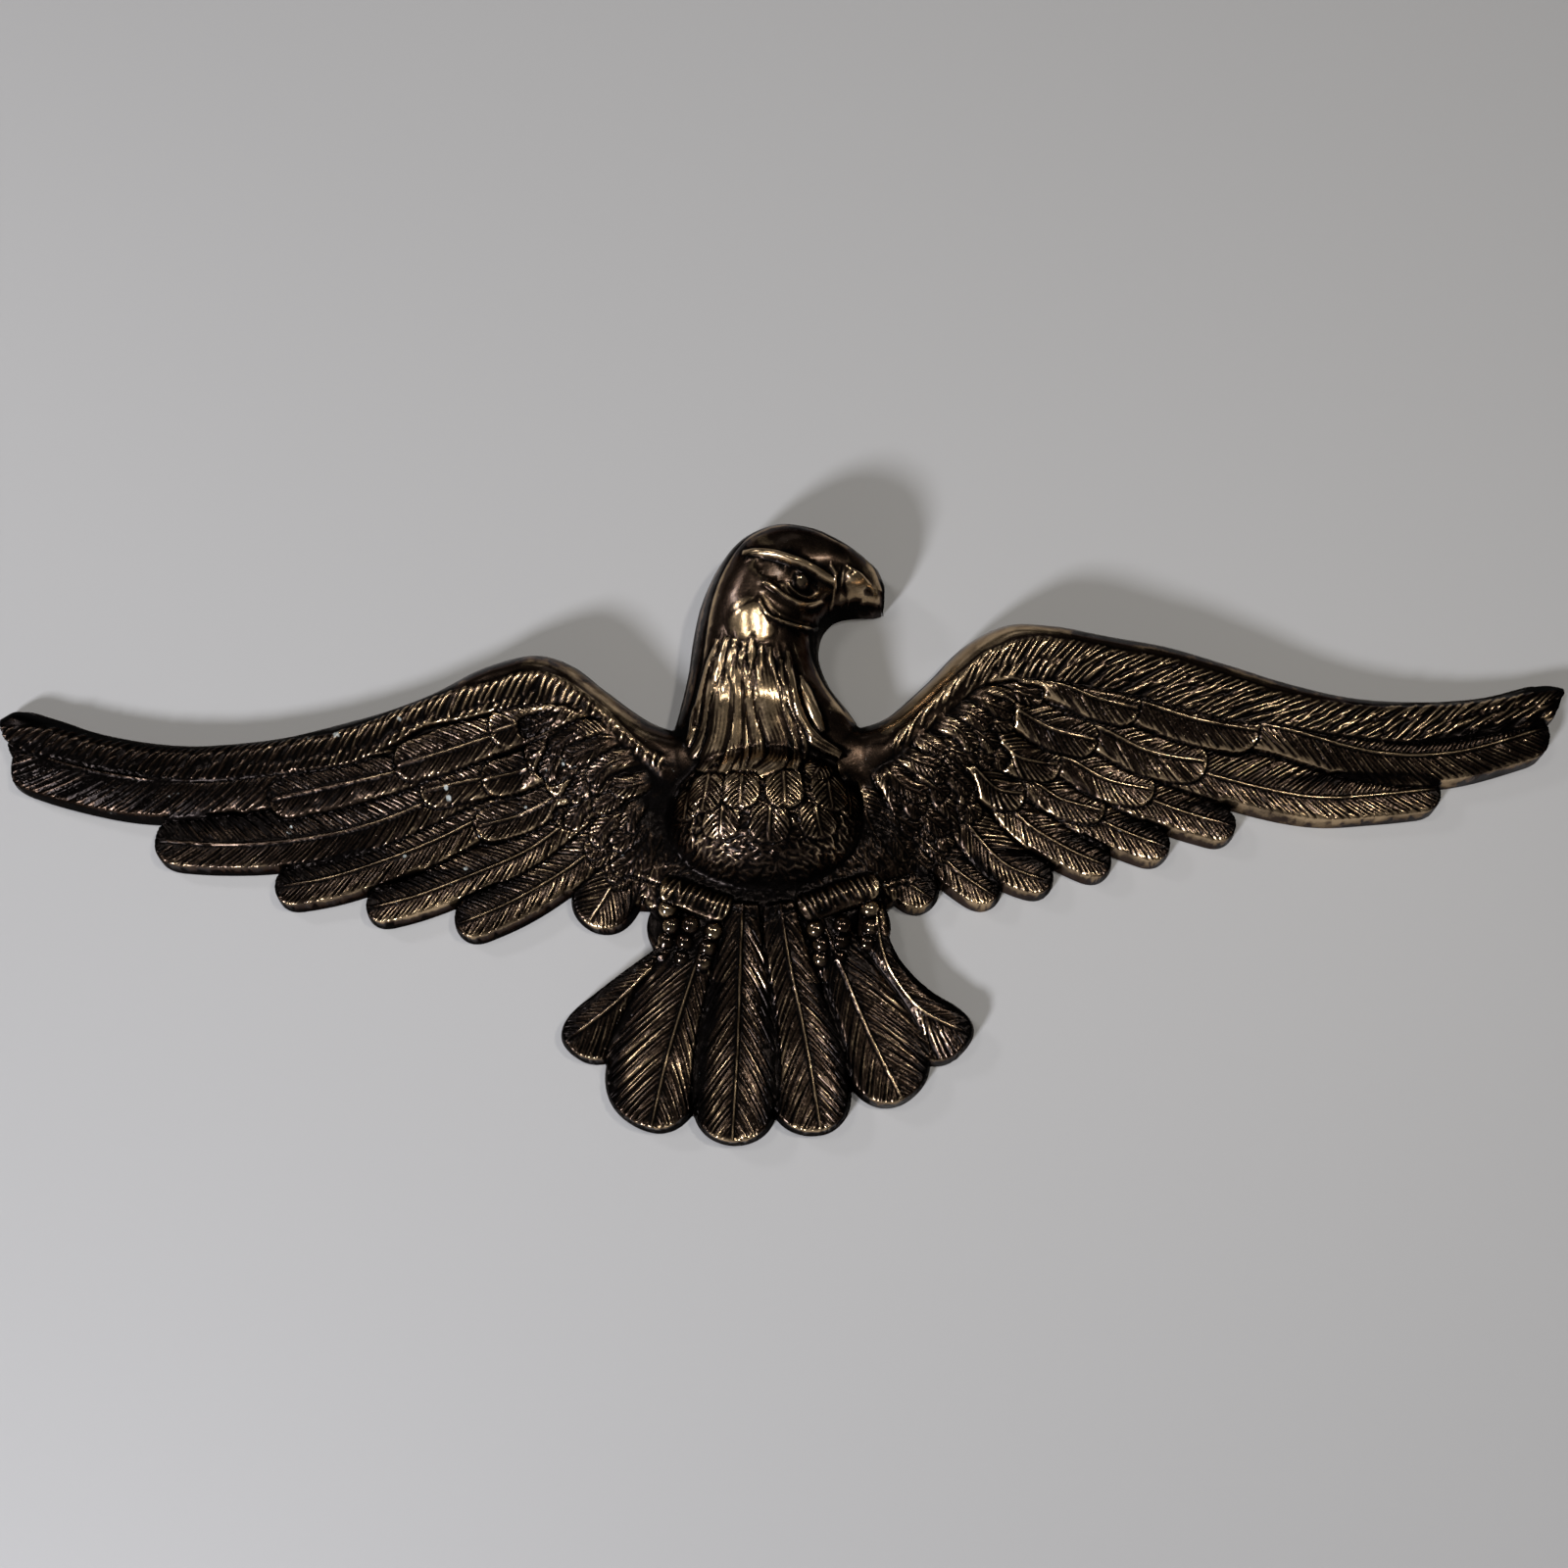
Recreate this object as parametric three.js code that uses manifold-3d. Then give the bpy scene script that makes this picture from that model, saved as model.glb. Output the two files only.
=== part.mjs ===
// Eagle wall plaque: one brass casting, wings spread, head turned to the viewer's right.
// Millimetres. X runs to the viewer's right, Z up the wall, and the front faces -Y.
// The back lies in the plane y = 0, with the origin on the flat pad that meets the wall.
// A height below is a distance out from the wall, so it becomes -Y in the solid.
import * as THREE from 'three';
import { mergeVertices } from 'three/addons/utils/BufferGeometryUtils.js';
import Module from 'manifold-3d';

// Driving dimensions
const RIM = 6.5;            // thickness of the casting along its trailing edges
const RIM_DRAFT = 2.4;      // how far a side wall leans in over the thickness of the rim
const RECESS = 3.5;         // depth of the recess of the back
const BORDER = 9;           // width of the flat border that it leaves along the leading edges
const WING_BLEND = 10;      // distance over which neighbouring crest heights blend
const BODY_DEPTH = 19;      // height of the shoulders that join wings, neck and tail
const BREAST_DEPTH = 41;    // height of the breast, the highest place of the casting
const NECK_FULLNESS = 2.3;  // exponent of the neck's cross section, 2 would be an ellipse
const QUILL_RISE = 1.3;     // height of a feather's middle over its edges
const BEHIND = 3;           // how far every piece starts behind the wall, before it is cut flat
const BEAD_RADIUS = 3.7;    // one joint of a toe
const PAD = { width: 40, height: 44, depth: 30, z: 2 };
const KEYHOLE = { head: 4.8, slot: 2.4, rise: 9, depth: 8, lip: 2.5, z: 11 };

// Leading edge of each wing from the neck to the tip: x, z, crest height, width of the rolled edge,
// and how far behind the crest the wing has come down to the thickness of the rim.
const LEADING = {
  right: [
    [24, 3, 24, 12, 60], [38, 6, 22, 12, 60], [48, 9.5, 22, 12, 60], [65, 24, 25, 12, 62],
    [82, 41, 29, 13, 66], [99, 49.5, 30, 13, 66], [118, 49.5, 29, 12, 64], [142, 45.5, 26, 12, 62],
    [168, 41, 23, 11, 58], [192, 34, 20, 10, 52], [221, 25, 17, 9, 46], [246, 19.5, 15, 8, 42],
    [274, 18, 13, 8, 38], [302, 20, 12, 8, 34], [328, 26, 11, 8, 30], [338.5, 24.5, 9, 6, 26],
  ],
  left: [
    [-26, 2, 24, 12, 60], [-40, 4.5, 22, 12, 60], [-50, 8.5, 22, 12, 60], [-69, 22, 26, 12, 64],
    [-82, 32, 28, 13, 66], [-97, 36.5, 29, 13, 66], [-120, 31, 27, 12, 64], [-141, 20, 24, 11, 60],
    [-161, 12.5, 21, 10, 56], [-181, 7, 19, 10, 50], [-202, 2, 17, 9, 46], [-222, -0.5, 15, 9, 42],
    [-243, -1.5, 14, 8, 40], [-264, 0.5, 13, 8, 36], [-285, 5, 12, 8, 34], [-303, 11, 11, 8, 30],
    [-318, 14.5, 10, 7, 28], [-325, 11, 8, 6, 26],
  ],
};

// How wide the leading edge's own band of barbs is, along the same points
const BAND = {
  right: [16, 18, 24, 24, 23, 21, 20, 18, 10],
  left: [16, 18, 22, 22, 20, 18, 16, 14, 9],
};

// Lower border of the plain bed under each wing's feathers
const BED = {
  right: [[24, -60], [60, -58], [90, -52], [130, -42], [180, -30], [236, -16], [296, 4], [329, 16]],
  left: [[-24, -72], [-58, -71], [-90, -64], [-130, -60], [-172, -48], [-230, -30], [-288, -12], [-316, 4]],
};

// Feathers: rachis points from root to tip, width of the vane on either side of it, and how far
// the feather lies above the wing's own surface. The first width is on the side of the leading edge.
const QUILLS = {
  right: [
    { rachis: [[150, 8], [204, 4], [250, -7], [283, -7], [327, 5]], widths: [9, 12.5], lift: 0.3 },
    { rachis: [[130, 2], [180, -15], [225, -25], [252, -24], [280, -21]], widths: [11.5, 11], lift: 0 },
    { rachis: [[105, 0], [145, -20], [168, -30], [194, -38]], widths: [9, 10], lift: 0 },
    { rachis: [[92, -2], [120, -24], [143, -38], [166, -47]], widths: [9, 10], lift: 0 },
    { rachis: [[80, -4], [104, -34], [123, -47], [141, -55]], widths: [10, 9], lift: 0 },
    { rachis: [[62, -10], [84, -40], [98, -54], [117, -61]], widths: [10, 9], lift: 0 },
    { rachis: [[46, -14], [64, -41], [76, -55], [94, -68]], widths: [11, 9], lift: 0 },
    { rachis: [[34, -24], [48, -51], [56, -60], [68, -69]], widths: [11, 10], lift: 0 },
  ],
  left: [
    { rachis: [[-150, -8], [-202, -17], [-253, -19], [-290, -12], [-319, -2]], widths: [5, 16.5], lift: 0.3 },
    { rachis: [[-112, -16], [-163, -37], [-200, -44], [-227, -45], [-254, -43]], widths: [13.5, 11.5], lift: 0 },
    { rachis: [[-96, -22], [-136, -43], [-164, -54], [-180, -59], [-203, -63]], widths: [10, 10.5], lift: 0 },
    { rachis: [[-74, -30], [-100, -48], [-122, -58], [-145, -67], [-165, -72]], widths: [10, 9], lift: 0 },
    { rachis: [[-58, -36], [-82, -55], [-105, -69], [-128, -79]], widths: [11, 10], lift: 0 },
    { rachis: [[-50, -36], [-60, -54], [-66, -66], [-74, -79]], widths: [15, 14], lift: 0 },
  ],
};

const COVERTS = {
  right: [
    { rachis: [[62, -8], [81, -13], [94, -23], [106, -24]], widths: [7, 8], lift: 1 },
    { rachis: [[84, -12], [109, -19], [121, -26], [139, -31]], widths: [7, 8], lift: 1 },
    { rachis: [[70, 0], [91, -4], [103, -10], [121, -12]], widths: [7, 8], lift: 1.4 },
    { rachis: [[98, -4], [124, -10], [140, -18], [160, -22]], widths: [7, 9], lift: 1.4 },
    { rachis: [[80, 14], [102, 8], [118, 1], [136, -3]], widths: [7, 8], lift: 1.9 },
    { rachis: [[108, 10], [136, 2], [158, -7], [182, -11]], widths: [7, 10], lift: 1.9 },
    { rachis: [[94, 24], [120, 18], [134, 13], [153, 9]], widths: [7, 8], lift: 2.3 },
    { rachis: [[122, 20], [153, 12], [178, 5], [203, 1]], widths: [6, 10], lift: 2.3 },
  ],
  left: [
    { rachis: [[-60, -16], [-74, -16], [-82, -18], [-92, -22]], widths: [7, 8], lift: 1 },
    { rachis: [[-66, -18], [-84, -25], [-102, -33], [-121, -38]], widths: [7, 8], lift: 1 },
    { rachis: [[-58, -4], [-74, -4], [-88, -7], [-100, -12]], widths: [7, 8], lift: 1.5 },
    { rachis: [[-70, -8], [-90, -12], [-102, -16], [-118, -20]], widths: [7, 8], lift: 1.4 },
    { rachis: [[-92, -14], [-112, -18], [-127, -21], [-143, -25]], widths: [6, 7], lift: 1.2 },
    { rachis: [[-70, 12], [-86, 7], [-98, 3], [-114, -2]], widths: [7, 8], lift: 2.1 },
    { rachis: [[-92, 2], [-115, -4], [-134, -10], [-153, -15]], widths: [7, 8], lift: 1.8 },
    { rachis: [[-128, -10], [-152, -17], [-176, -22], [-205, -28]], widths: [7, 9], lift: 1.6 },
  ],
};

// Tail feathers, the middle ones last and on top
const TAIL = [
  { rachis: [[-26, -76], [-48, -98], [-63, -112], [-82, -126]], widths: [10, 17], lift: 0 },
  { rachis: [[-20, -70], [-30, -99], [-39, -128], [-46, -160]], widths: [24, 17], lift: 0.5 },
  { rachis: [[42, -68], [47, -94], [60, -112], [82, -123]], widths: [10, 18], lift: 0 },
  { rachis: [[18, -70], [29, -96], [41, -124], [53.5, -149]], widths: [20, 16], lift: 0.5 },
  { rachis: [[4, -66], [8, -92], [14, -120], [21, -161]], widths: [15, 19], lift: 1 },
  { rachis: [[-10, -66], [-11, -92], [-12, -126], [-14, -165]], widths: [17, 17], lift: 1.4 },
];
const TAIL_ROOT_DEPTH = 13;
const TAIL_BASE = { x: 0, z: -78, halfWidth: 50, halfHeight: 27, depth: 12 };
const WING_ROOT_WIDTH = 0.72;   // a wing feather's width at its root, as a share of its full width
const TAIL_ROOT_WIDTH = 0.4;
const TIP_LENGTH = 1.1;         // length of a feather's rounded tip, as a share of its wider vane
const TIP_SQUARENESS = 2.6;     // exponent of the tip's outline, 2 would be half an ellipse
const TAIL_TOP = -72;
const TAIL_LENGTH = 60;

// Neck and head: the back of the neck and crown on one rail, the throat and beak on the other,
// each with the height of the cross section between them.
const NECK = [
  { crown: [-44, -34], throat: [44, -34], depth: 17 },
  { crown: [-46, -14], throat: [48, -14], depth: 26 },
  { crown: [-39, 9], throat: [37, 7], depth: 32 },
  { crown: [-35, 27], throat: [26, 22], depth: 34 },
  { crown: [-33, 43], throat: [21.5, 35], depth: 35 },
  { crown: [-30, 58], throat: [21.5, 44], depth: 37 },
  { crown: [-24, 73], throat: [23, 49], depth: 38 },
  { crown: [-14, 86.5], throat: [25, 52], depth: 39 },
  { crown: [1, 93.5], throat: [27, 54], depth: 38 },
  { crown: [18, 91.5], throat: [30, 55.5], depth: 36 },
  { crown: [31, 85.5], throat: [34.5, 56.5], depth: 33 },
  { crown: [40, 80], throat: [40, 57], depth: 27 },
  { crown: [46, 75.5], throat: [45.5, 57], depth: 21 },
  { crown: [49.5, 69], throat: [49, 58], depth: 14 },
];

const LOCKS = [
  [[-14, 34], [-21, 17], [-26, -4], [-32, -14]],
  [[-14, 30], [-19, 12], [-22, -8], [-27, -18]],
  [[-13, 28], [-15, 8], [-14, -8], [-18, -20]],
  [[-10, 32], [-10, 12], [-9, -6], [-12, -21]],
  [[-7, 32], [-6, 12], [-5, -8], [-8, -22]],
  [[-5, 32], [-1, 12], [4, -8], [-3, -23]],
  [[2, 34], [0, 18], [5, 2], [14, -16]],
  [[7, 22], [8, 8], [12, -8], [9, -22]],
  [[9, 26], [11, 14], [16, 0], [27, -10]],
];
const LOCK_WIDTH = 5.2;
const LOCK_RISE = 2.6;

const BROW = [[-10, 70], [0, 72], [12, 70], [22, 66]];
const CHEEK = [[-4, 58], [4, 54], [12, 51.5], [22, 56]];
const FACE_EDGE = [[-4, 47], [4, 42], [14, 42], [22, 48], [26, 62]];
const EYE = [13, 60];
const EYE_PROFILE = [[7, -0.6], [6, 1.2], [4.8, 0.2], [4, 0.6], [2.6, 2], [0, 2.7]];
const MOUTH = [[26, 52.6], [34.7, 51.6], [46, 51.2]];
const MOUTH_DEPTH = 3;
const CULMEN = [[27, 72], [35, 68], [42, 63.5], [46.5, 57]];

const BREAST = { x: -1.5, z: -35, halfWidth: 42, halfHeight: 32 };
const BODY = { x: 0, z: -42, halfWidth: 62, halfHeight: 48 };
const CUFFS = [
  [[-42, -65], [-33, -68], [-24, -72], [-15, -76]],
  [[43, -65], [33, -69], [22, -73], [11, -77]],
];
const CUFF_WIDTH = 15;
const CUFF_RISE = 6;
const TOES = [
  [[-39, -77], [-41, -83.5], [-42.5, -90]],
  [[-31, -80], [-32.5, -86.5], [-34, -92.5]],
  [[-23.5, -82], [-25, -88.5], [-26.5, -94]],
  [[20.5, -82], [22, -88], [23.5, -93]],
  [[29.5, -79.5], [31, -86], [33, -92]],
  [[39, -74], [41, -80], [42, -86]],
];
const TOE_HEIGHT = 13;
const TOE_FALL = 1.4;

// Exact joining and cutting of closed meshes
const wasm = await Module();
wasm.setup();

const WELD = 1e-3;
function toSolid(geometry) {
  const bare = new THREE.BufferGeometry();
  bare.setAttribute('position', geometry.getAttribute('position').clone());
  const indexed = geometry.index ? geometry.index.clone() : null;
  bare.setIndex(indexed);
  const merged = mergeVertices(bare, WELD);
  const vertProperties = new Float32Array(merged.getAttribute('position').array);
  const triVerts = new Uint32Array(merged.index.array);
  if (signedVolume(vertProperties, triVerts) < 0) {
    for (let i = 0; i < triVerts.length; i += 3) {
      [triVerts[i], triVerts[i + 1]] = [triVerts[i + 1], triVerts[i]];
    }
  }
  return new wasm.Manifold(new wasm.Mesh({ numProp: 3, vertProperties, triVerts }));
}

function signedVolume(points, triangles) {
  const corner = [new THREE.Vector3(), new THREE.Vector3(), new THREE.Vector3()];
  let total = 0;
  for (let i = 0; i < triangles.length; i += 3) {
    corner.forEach((v, k) => v.fromArray(points, triangles[i + k] * 3));
    total += corner[0].dot(corner[1].clone().cross(corner[2]));
  }
  return total / 6;
}

function toGeometry(solid) {
  const mesh = solid.getMesh();
  const geometry = new THREE.BufferGeometry();
  geometry.setAttribute('position', new THREE.BufferAttribute(new Float32Array(mesh.vertProperties), 3));
  geometry.setIndex(new THREE.BufferAttribute(new Uint32Array(mesh.triVerts), 1));
  geometry.computeVertexNormals();
  return geometry;
}

// A box of columns and rows, each corner moved to where place(across, along, front) says.
// across and along run from 0 to 1, and front tells the face towards the viewer from the back.
function shapedBox(columns, rows, place) {
  const geometry = new THREE.BoxGeometry(1, 1, 1, columns, 1, rows);
  const position = geometry.getAttribute('position');
  for (let i = 0; i < position.count; i += 1) {
    const [x, z, height] = place(position.getX(i) + 0.5, position.getZ(i) + 0.5, position.getY(i) > 0);
    position.setXYZ(i, x, -height, z);
  }
  return toSolid(geometry);
}

function curveThrough(points) {
  return new THREE.CatmullRomCurve3(points.map(([x, z]) => new THREE.Vector3(x, 0, z)), false, 'centripetal');
}

// A value read from an evenly spaced list at a fraction from 0 to 1
function along(list, fraction) {
  const place = Math.min(Math.max(fraction, 0), 1) * (list.length - 1);
  const low = Math.min(Math.floor(place), list.length - 2);
  return list[low] + (list[low + 1] - list[low]) * (place - low);
}

const smooth = (t) => THREE.MathUtils.smoothstep(t, 0, 1);

// Wing surface: a rolled leading edge, a crest, and a long fall to the thickness of the rim
const WING_SAMPLES = 72;
const wings = Object.fromEntries(Object.entries(LEADING).map(([side, rows]) => {
  const edge = curveThrough(rows);
  const samples = [];
  for (let i = 0; i <= WING_SAMPLES; i += 1) {
    const t = i / WING_SAMPLES;
    const point = edge.getPoint(t);
    samples.push({
      x: point.x,
      z: point.z,
      crest: along(rows.map((row) => row[2]), t),
      roll: along(rows.map((row) => row[3]), t),
      chord: along(rows.map((row) => row[4]), t),
    });
  }
  return [side, { edge, samples, inward: side === 'right' ? 1 : -1 }];
}));

function wingHeight(wing, x, z) {
  let distance = Infinity;
  let total = 0;
  const mean = { crest: 0, roll: 0, chord: 0 };
  for (const sample of wing.samples) {
    const gap = Math.hypot(x - sample.x, z - sample.z);
    const weight = Math.exp(-gap / WING_BLEND);
    distance = Math.min(distance, gap);
    total += weight;
    for (const key of Object.keys(mean)) mean[key] += weight * sample[key];
  }
  for (const key of Object.keys(mean)) mean[key] /= total;
  if (distance < mean.roll) {
    return mean.crest * Math.sqrt(1 - (1 - distance / mean.roll) ** 2);
  }
  return RIM + (mean.crest - RIM) * (1 - smooth((distance - mean.roll) / mean.chord));
}

function tailHeight(x, z) {
  return RIM + (TAIL_ROOT_DEPTH - RIM) * smooth((z - TAIL_TOP + TAIL_LENGTH) / TAIL_LENGTH);
}

// One feather: a vane on either side of a rachis, rounded at its tip, laid over a surface
const SHAFT_STATIONS = [0, 0.55, 1];
const TIP_STATIONS = [0.5, 0.82, 1];
const PLAIN_VANES = [[-1, 0], [0, 1], [1, 0]];
const RIBBED_VANES = [[-1, 0], [-0.12, 0.75], [0, 1.5], [0.12, 0.75], [1, 0]];
function feather({ rachis, widths, lift }, surface, rootShare, vanes = PLAIN_VANES) {
  const path = curveThrough(rachis);
  const tipShare = Math.min(0.4, Math.max(...widths) * TIP_LENGTH / path.getLength());
  const stations = SHAFT_STATIONS.map((t) => t * (1 - tipShare));
  stations.push(...TIP_STATIONS.map((t) => 1 - tipShare * (1 - t)));
  const side = Math.sign(rachis.at(-1)[0] - rachis[0][0]) || 1;
  return shapedBox(vanes.length - 1, stations.length - 1, (across, row, front) => {
    const t = along(stations, row);
    const point = path.getPointAt(t);
    const tangent = path.getTangentAt(t);
    const intoTip = Math.max(0, 1 - (1 - t) / tipShare);
    const round = Math.sqrt(Math.max(0.03, 1 - intoTip ** TIP_SQUARENESS));
    const rootWidth = rootShare + (1 - rootShare) * smooth(t * 1.4);
    const [offset, rise] = vanes[Math.round(across * (vanes.length - 1))];
    const width = (offset < 0 ? widths[0] : widths[1]) * round * rootWidth;
    const inset = front ? RIM_DRAFT : -BEHIND * RIM_DRAFT / RIM;
    const shift = offset * Math.max(width - inset, 1 + width / 4);
    const endInset = t === 1 ? inset : 0;
    const x = point.x + side * tangent.z * shift - tangent.x * endInset;
    const z = point.z - side * tangent.x * shift - tangent.z * endInset;
    if (!front) return [x, z, -BEHIND];
    return [x, z, surface(x, z) + lift + QUILL_RISE * rise];
  });
}

// The band of barbs along a leading edge, from the rolled edge to its lower border
const BAND_LIFT = 1.6;
const ROLL_STEPS = [0.03, 0.2, 0.55, 1];
function leadingBand(side) {
  const wing = wings[side];
  const stations = 22;
  return shapedBox(ROLL_STEPS.length, stations, (across, t, front) => {
    const point = wing.edge.getPoint(t);
    const tangent = wing.edge.getTangent(t);
    const row = wing.samples[Math.round(t * WING_SAMPLES)];
    const step = Math.round(across * ROLL_STEPS.length);
    const width = along(BAND[side], t);
    const rolled = step < ROLL_STEPS.length ? row.roll * ROLL_STEPS[step] : width;
    const into = front ? rolled : across * width;
    const x = point.x + wing.inward * tangent.z * into;
    const z = point.z - wing.inward * tangent.x * into;
    if (!front) return [x, z, -BEHIND];
    return [x, z, wingHeight(wing, x, z) + (step < 3 ? 0 : BAND_LIFT)];
  });
}

// The plain bed under a wing's feathers, sunk a little below them
const BED_SINK = 0.8;
function wingBed(side) {
  const wing = wings[side];
  const lower = curveThrough(BED[side]);
  return shapedBox(4, 12, (across, t, front) => {
    const start = wing.edge.getPoint(t);
    const end = lower.getPoint(t);
    const inset = 5 / start.distanceTo(end);
    const point = start.lerp(end, inset + across * (1 - inset));
    const height = wingHeight(wing, point.x, point.z) - BED_SINK;
    return [point.x, point.z, front ? height : -BEHIND];
  });
}

// A domed mass with a flat back
function dome({ x, z, halfWidth, halfHeight, depth }, around = 20, rings = 5) {
  const geometry = new THREE.SphereGeometry(1, around, rings * 2);
  geometry.scale(halfWidth, depth, halfHeight);
  geometry.translate(x, 0, z);
  return toSolid(geometry);
}

function domeHeight({ x: cx, z: cz, halfWidth, halfHeight, depth }, x, z) {
  return depth * Math.sqrt(Math.max(0, 1 - ((x - cx) / halfWidth) ** 2 - ((z - cz) / halfHeight) ** 2));
}

// Neck and head as sections between the two rails
const crownRail = curveThrough(NECK.map((row) => row.crown));
const throatRail = curveThrough(NECK.map((row) => row.throat));
const neckDepths = NECK.map((row) => row.depth);

function neckPoint(t, across) {
  const point = crownRail.getPoint(t).lerp(throatRail.getPoint(t), across);
  const offset = Math.abs(across * 2 - 1);
  const height = along(neckDepths, t) * (1 - offset ** NECK_FULLNESS) ** (1 / NECK_FULLNESS);
  return [point.x, point.z, height];
}

function neckAndHead() {
  return shapedBox(8, 20, (across, t, front) => {
    const spread = 0.5 - 0.5 * Math.cos(across * Math.PI);
    const [x, z, height] = neckPoint(t, front ? spread : across);
    return [x, z, front ? Math.max(height, 0.6) : -BEHIND];
  });
}

// Height of the neck and head over a point: the section whose line passes through it
const NECK_SAMPLES = 160;
function neckHeight(x, z) {
  let best = 0;
  let before = null;
  for (let i = 0; i <= NECK_SAMPLES; i += 1) {
    const t = i / NECK_SAMPLES;
    const a = crownRail.getPoint(t);
    const b = throatRail.getPoint(t);
    const turn = (b.x - a.x) * (z - a.z) - (b.z - a.z) * (x - a.x);
    if (before !== null && Math.sign(turn) !== Math.sign(before)) {
      const across = ((x - a.x) * (b.x - a.x) + (z - a.z) * (b.z - a.z)) / a.distanceToSquared(b);
      if (across >= 0 && across <= 1) best = Math.max(best, neckPoint(t, across)[2]);
    }
    before = turn;
  }
  return best;
}

// A raised line over a surface, thin at both ends
function ridge(points, width, rise, surface, rows = 6, taper = 0.35) {
  const path = curveThrough(points);
  return shapedBox(2, rows, (across, t, front) => {
    const point = path.getPoint(t);
    const tangent = path.getTangent(t);
    const swell = taper + (1 - taper) * Math.sin(Math.PI * t) ** 0.6;
    const offset = across * 2 - 1;
    const shift = offset * width * 0.5 * swell;
    const x = point.x + tangent.z * shift;
    const z = point.z - tangent.x * shift;
    const skin = surface(x, z);
    if (!front) return [x, z, -BEHIND];
    return [x, z, offset === 0 ? skin + rise * swell : skin - 0.8];
  });
}

// A round knob on a straight stem that runs back to the wall, turned about the viewer's axis
function knob(x, z, profile, sides) {
  const points = [[0, -BEHIND], [profile[0][0], -BEHIND], ...profile];
  const geometry = new THREE.LatheGeometry(points.map(([r, h]) => new THREE.Vector2(r, h)), sides);
  geometry.rotateX(Math.PI);
  geometry.translate(x, 0, z);
  return toSolid(geometry);
}

function bead(x, z, height) {
  const profile = [0, 40, 90].map((degrees) => {
    const angle = THREE.MathUtils.degToRad(degrees);
    return [BEAD_RADIUS * Math.cos(angle), height + BEAD_RADIUS * 1.2 * Math.sin(angle)];
  });
  profile.at(-1)[0] = 0;
  return knob(x, z, profile, 6);
}

function bodySolids() {
  const solids = [dome({ ...BODY, depth: BODY_DEPTH }, 20, 4), dome(TAIL_BASE, 20, 3)];
  solids.push(dome({ ...BREAST, depth: BREAST_DEPTH }, 22, 5));
  const bodyHeight = (x, z) => Math.max(14, domeHeight({ ...BODY, depth: BODY_DEPTH }, x, z));
  for (const cuff of CUFFS) solids.push(ridge(cuff, CUFF_WIDTH, CUFF_RISE, bodyHeight));
  for (const toe of TOES) {
    toe.forEach(([x, z], joint) => solids.push(bead(x, z, TOE_HEIGHT - joint * TOE_FALL)));
  }
  return solids;
}

function headSolids() {
  const solids = [neckAndHead()];
  const ruff = (x, z) => Math.max(neckHeight(x, z), domeHeight({ ...BREAST, depth: BREAST_DEPTH }, x, z));
  for (const lock of LOCKS) solids.push(ridge(lock, LOCK_WIDTH, LOCK_RISE, ruff, 4));
  solids.push(ridge(BROW, 8, 3, neckHeight));
  solids.push(ridge(CHEEK, 5, 2, neckHeight));
  solids.push(ridge(FACE_EDGE, 4, 1.6, neckHeight));
  solids.push(ridge(CULMEN, 5, 1.8, neckHeight));
  const skin = neckHeight(...EYE);
  const profile = EYE_PROFILE.map(([r, rise]) => [r, skin + rise]);
  solids.push(knob(EYE[0], EYE[1], profile, 14));
  return solids;
}

function wingSolids(side) {
  const wing = wings[side];
  const surface = (x, z) => wingHeight(wing, x, z);
  const solids = [wingBed(side), leadingBand(side)];
  for (const row of QUILLS[side]) solids.push(feather(row, surface, WING_ROOT_WIDTH));
  for (const row of COVERTS[side]) solids.push(feather(row, surface, WING_ROOT_WIDTH));
  return solids;
}

// The recess of the back: a shallow flat-bottomed hollow under each wing, the breast and the neck
const RECESS_DRAFT = 0.8;
function wingRecess(side) {
  const wing = wings[side];
  const lower = curveThrough(BED[side]);
  return shapedBox(1, 14, (across, row, front) => {
    const draft = front ? RECESS_DRAFT / 100 : 0;
    const t = 0.15 + draft + (0.66 - 2 * draft) * row;
    const start = wing.edge.getPoint(t);
    const end = lower.getPoint(t);
    const inset = (BORDER + (front ? RECESS_DRAFT : 0)) / start.distanceTo(end);
    const point = start.lerp(end, inset + across * (0.76 - inset));
    return [point.x, point.z, front ? RECESS : -BEHIND];
  });
}

function neckRecess() {
  return shapedBox(4, 12, (across, t, front) => {
    const [x, z] = neckPoint(0.25 + 0.63 * t, 0.18 + 0.64 * across);
    return [x, z, front ? RECESS : -BEHIND];
  });
}

function breastRecess() {
  const rim = new THREE.CylinderGeometry(1, 1 + RECESS_DRAFT / 15, RECESS + BEHIND, 24);
  rim.rotateX(Math.PI);
  rim.scale(30, 1, 21);
  rim.translate(BREAST.x, (BEHIND - RECESS) / 2, BREAST.z - 10);
  return toSolid(rim);
}

const union = (solids) => wasm.Manifold.union(solids);

// The largest body of a solid once its points lie on a fine grid, which leaves no sealed pocket
// or loose sliver in the metal. It is repeated until nothing more comes off.
const GRID = 0.02;
function mainBody(solid) {
  const geometry = toGeometry(solid).toNonIndexed();
  const points = geometry.getAttribute('position').array;
  points.forEach((value, i) => { points[i] = Math.round(value / GRID) * GRID; });
  const bodies = toSolid(geometry).decompose();
  const largest = bodies.reduce((a, b) => (b.volume() > a.volume() ? b : a));
  return bodies.length > 1 ? mainBody(largest) : largest;
}

function cutter(width, depth, height, x, y, z) {
  const geometry = new THREE.BoxGeometry(width, depth, height);
  geometry.translate(x, y, z);
  return toSolid(geometry);
}

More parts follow.
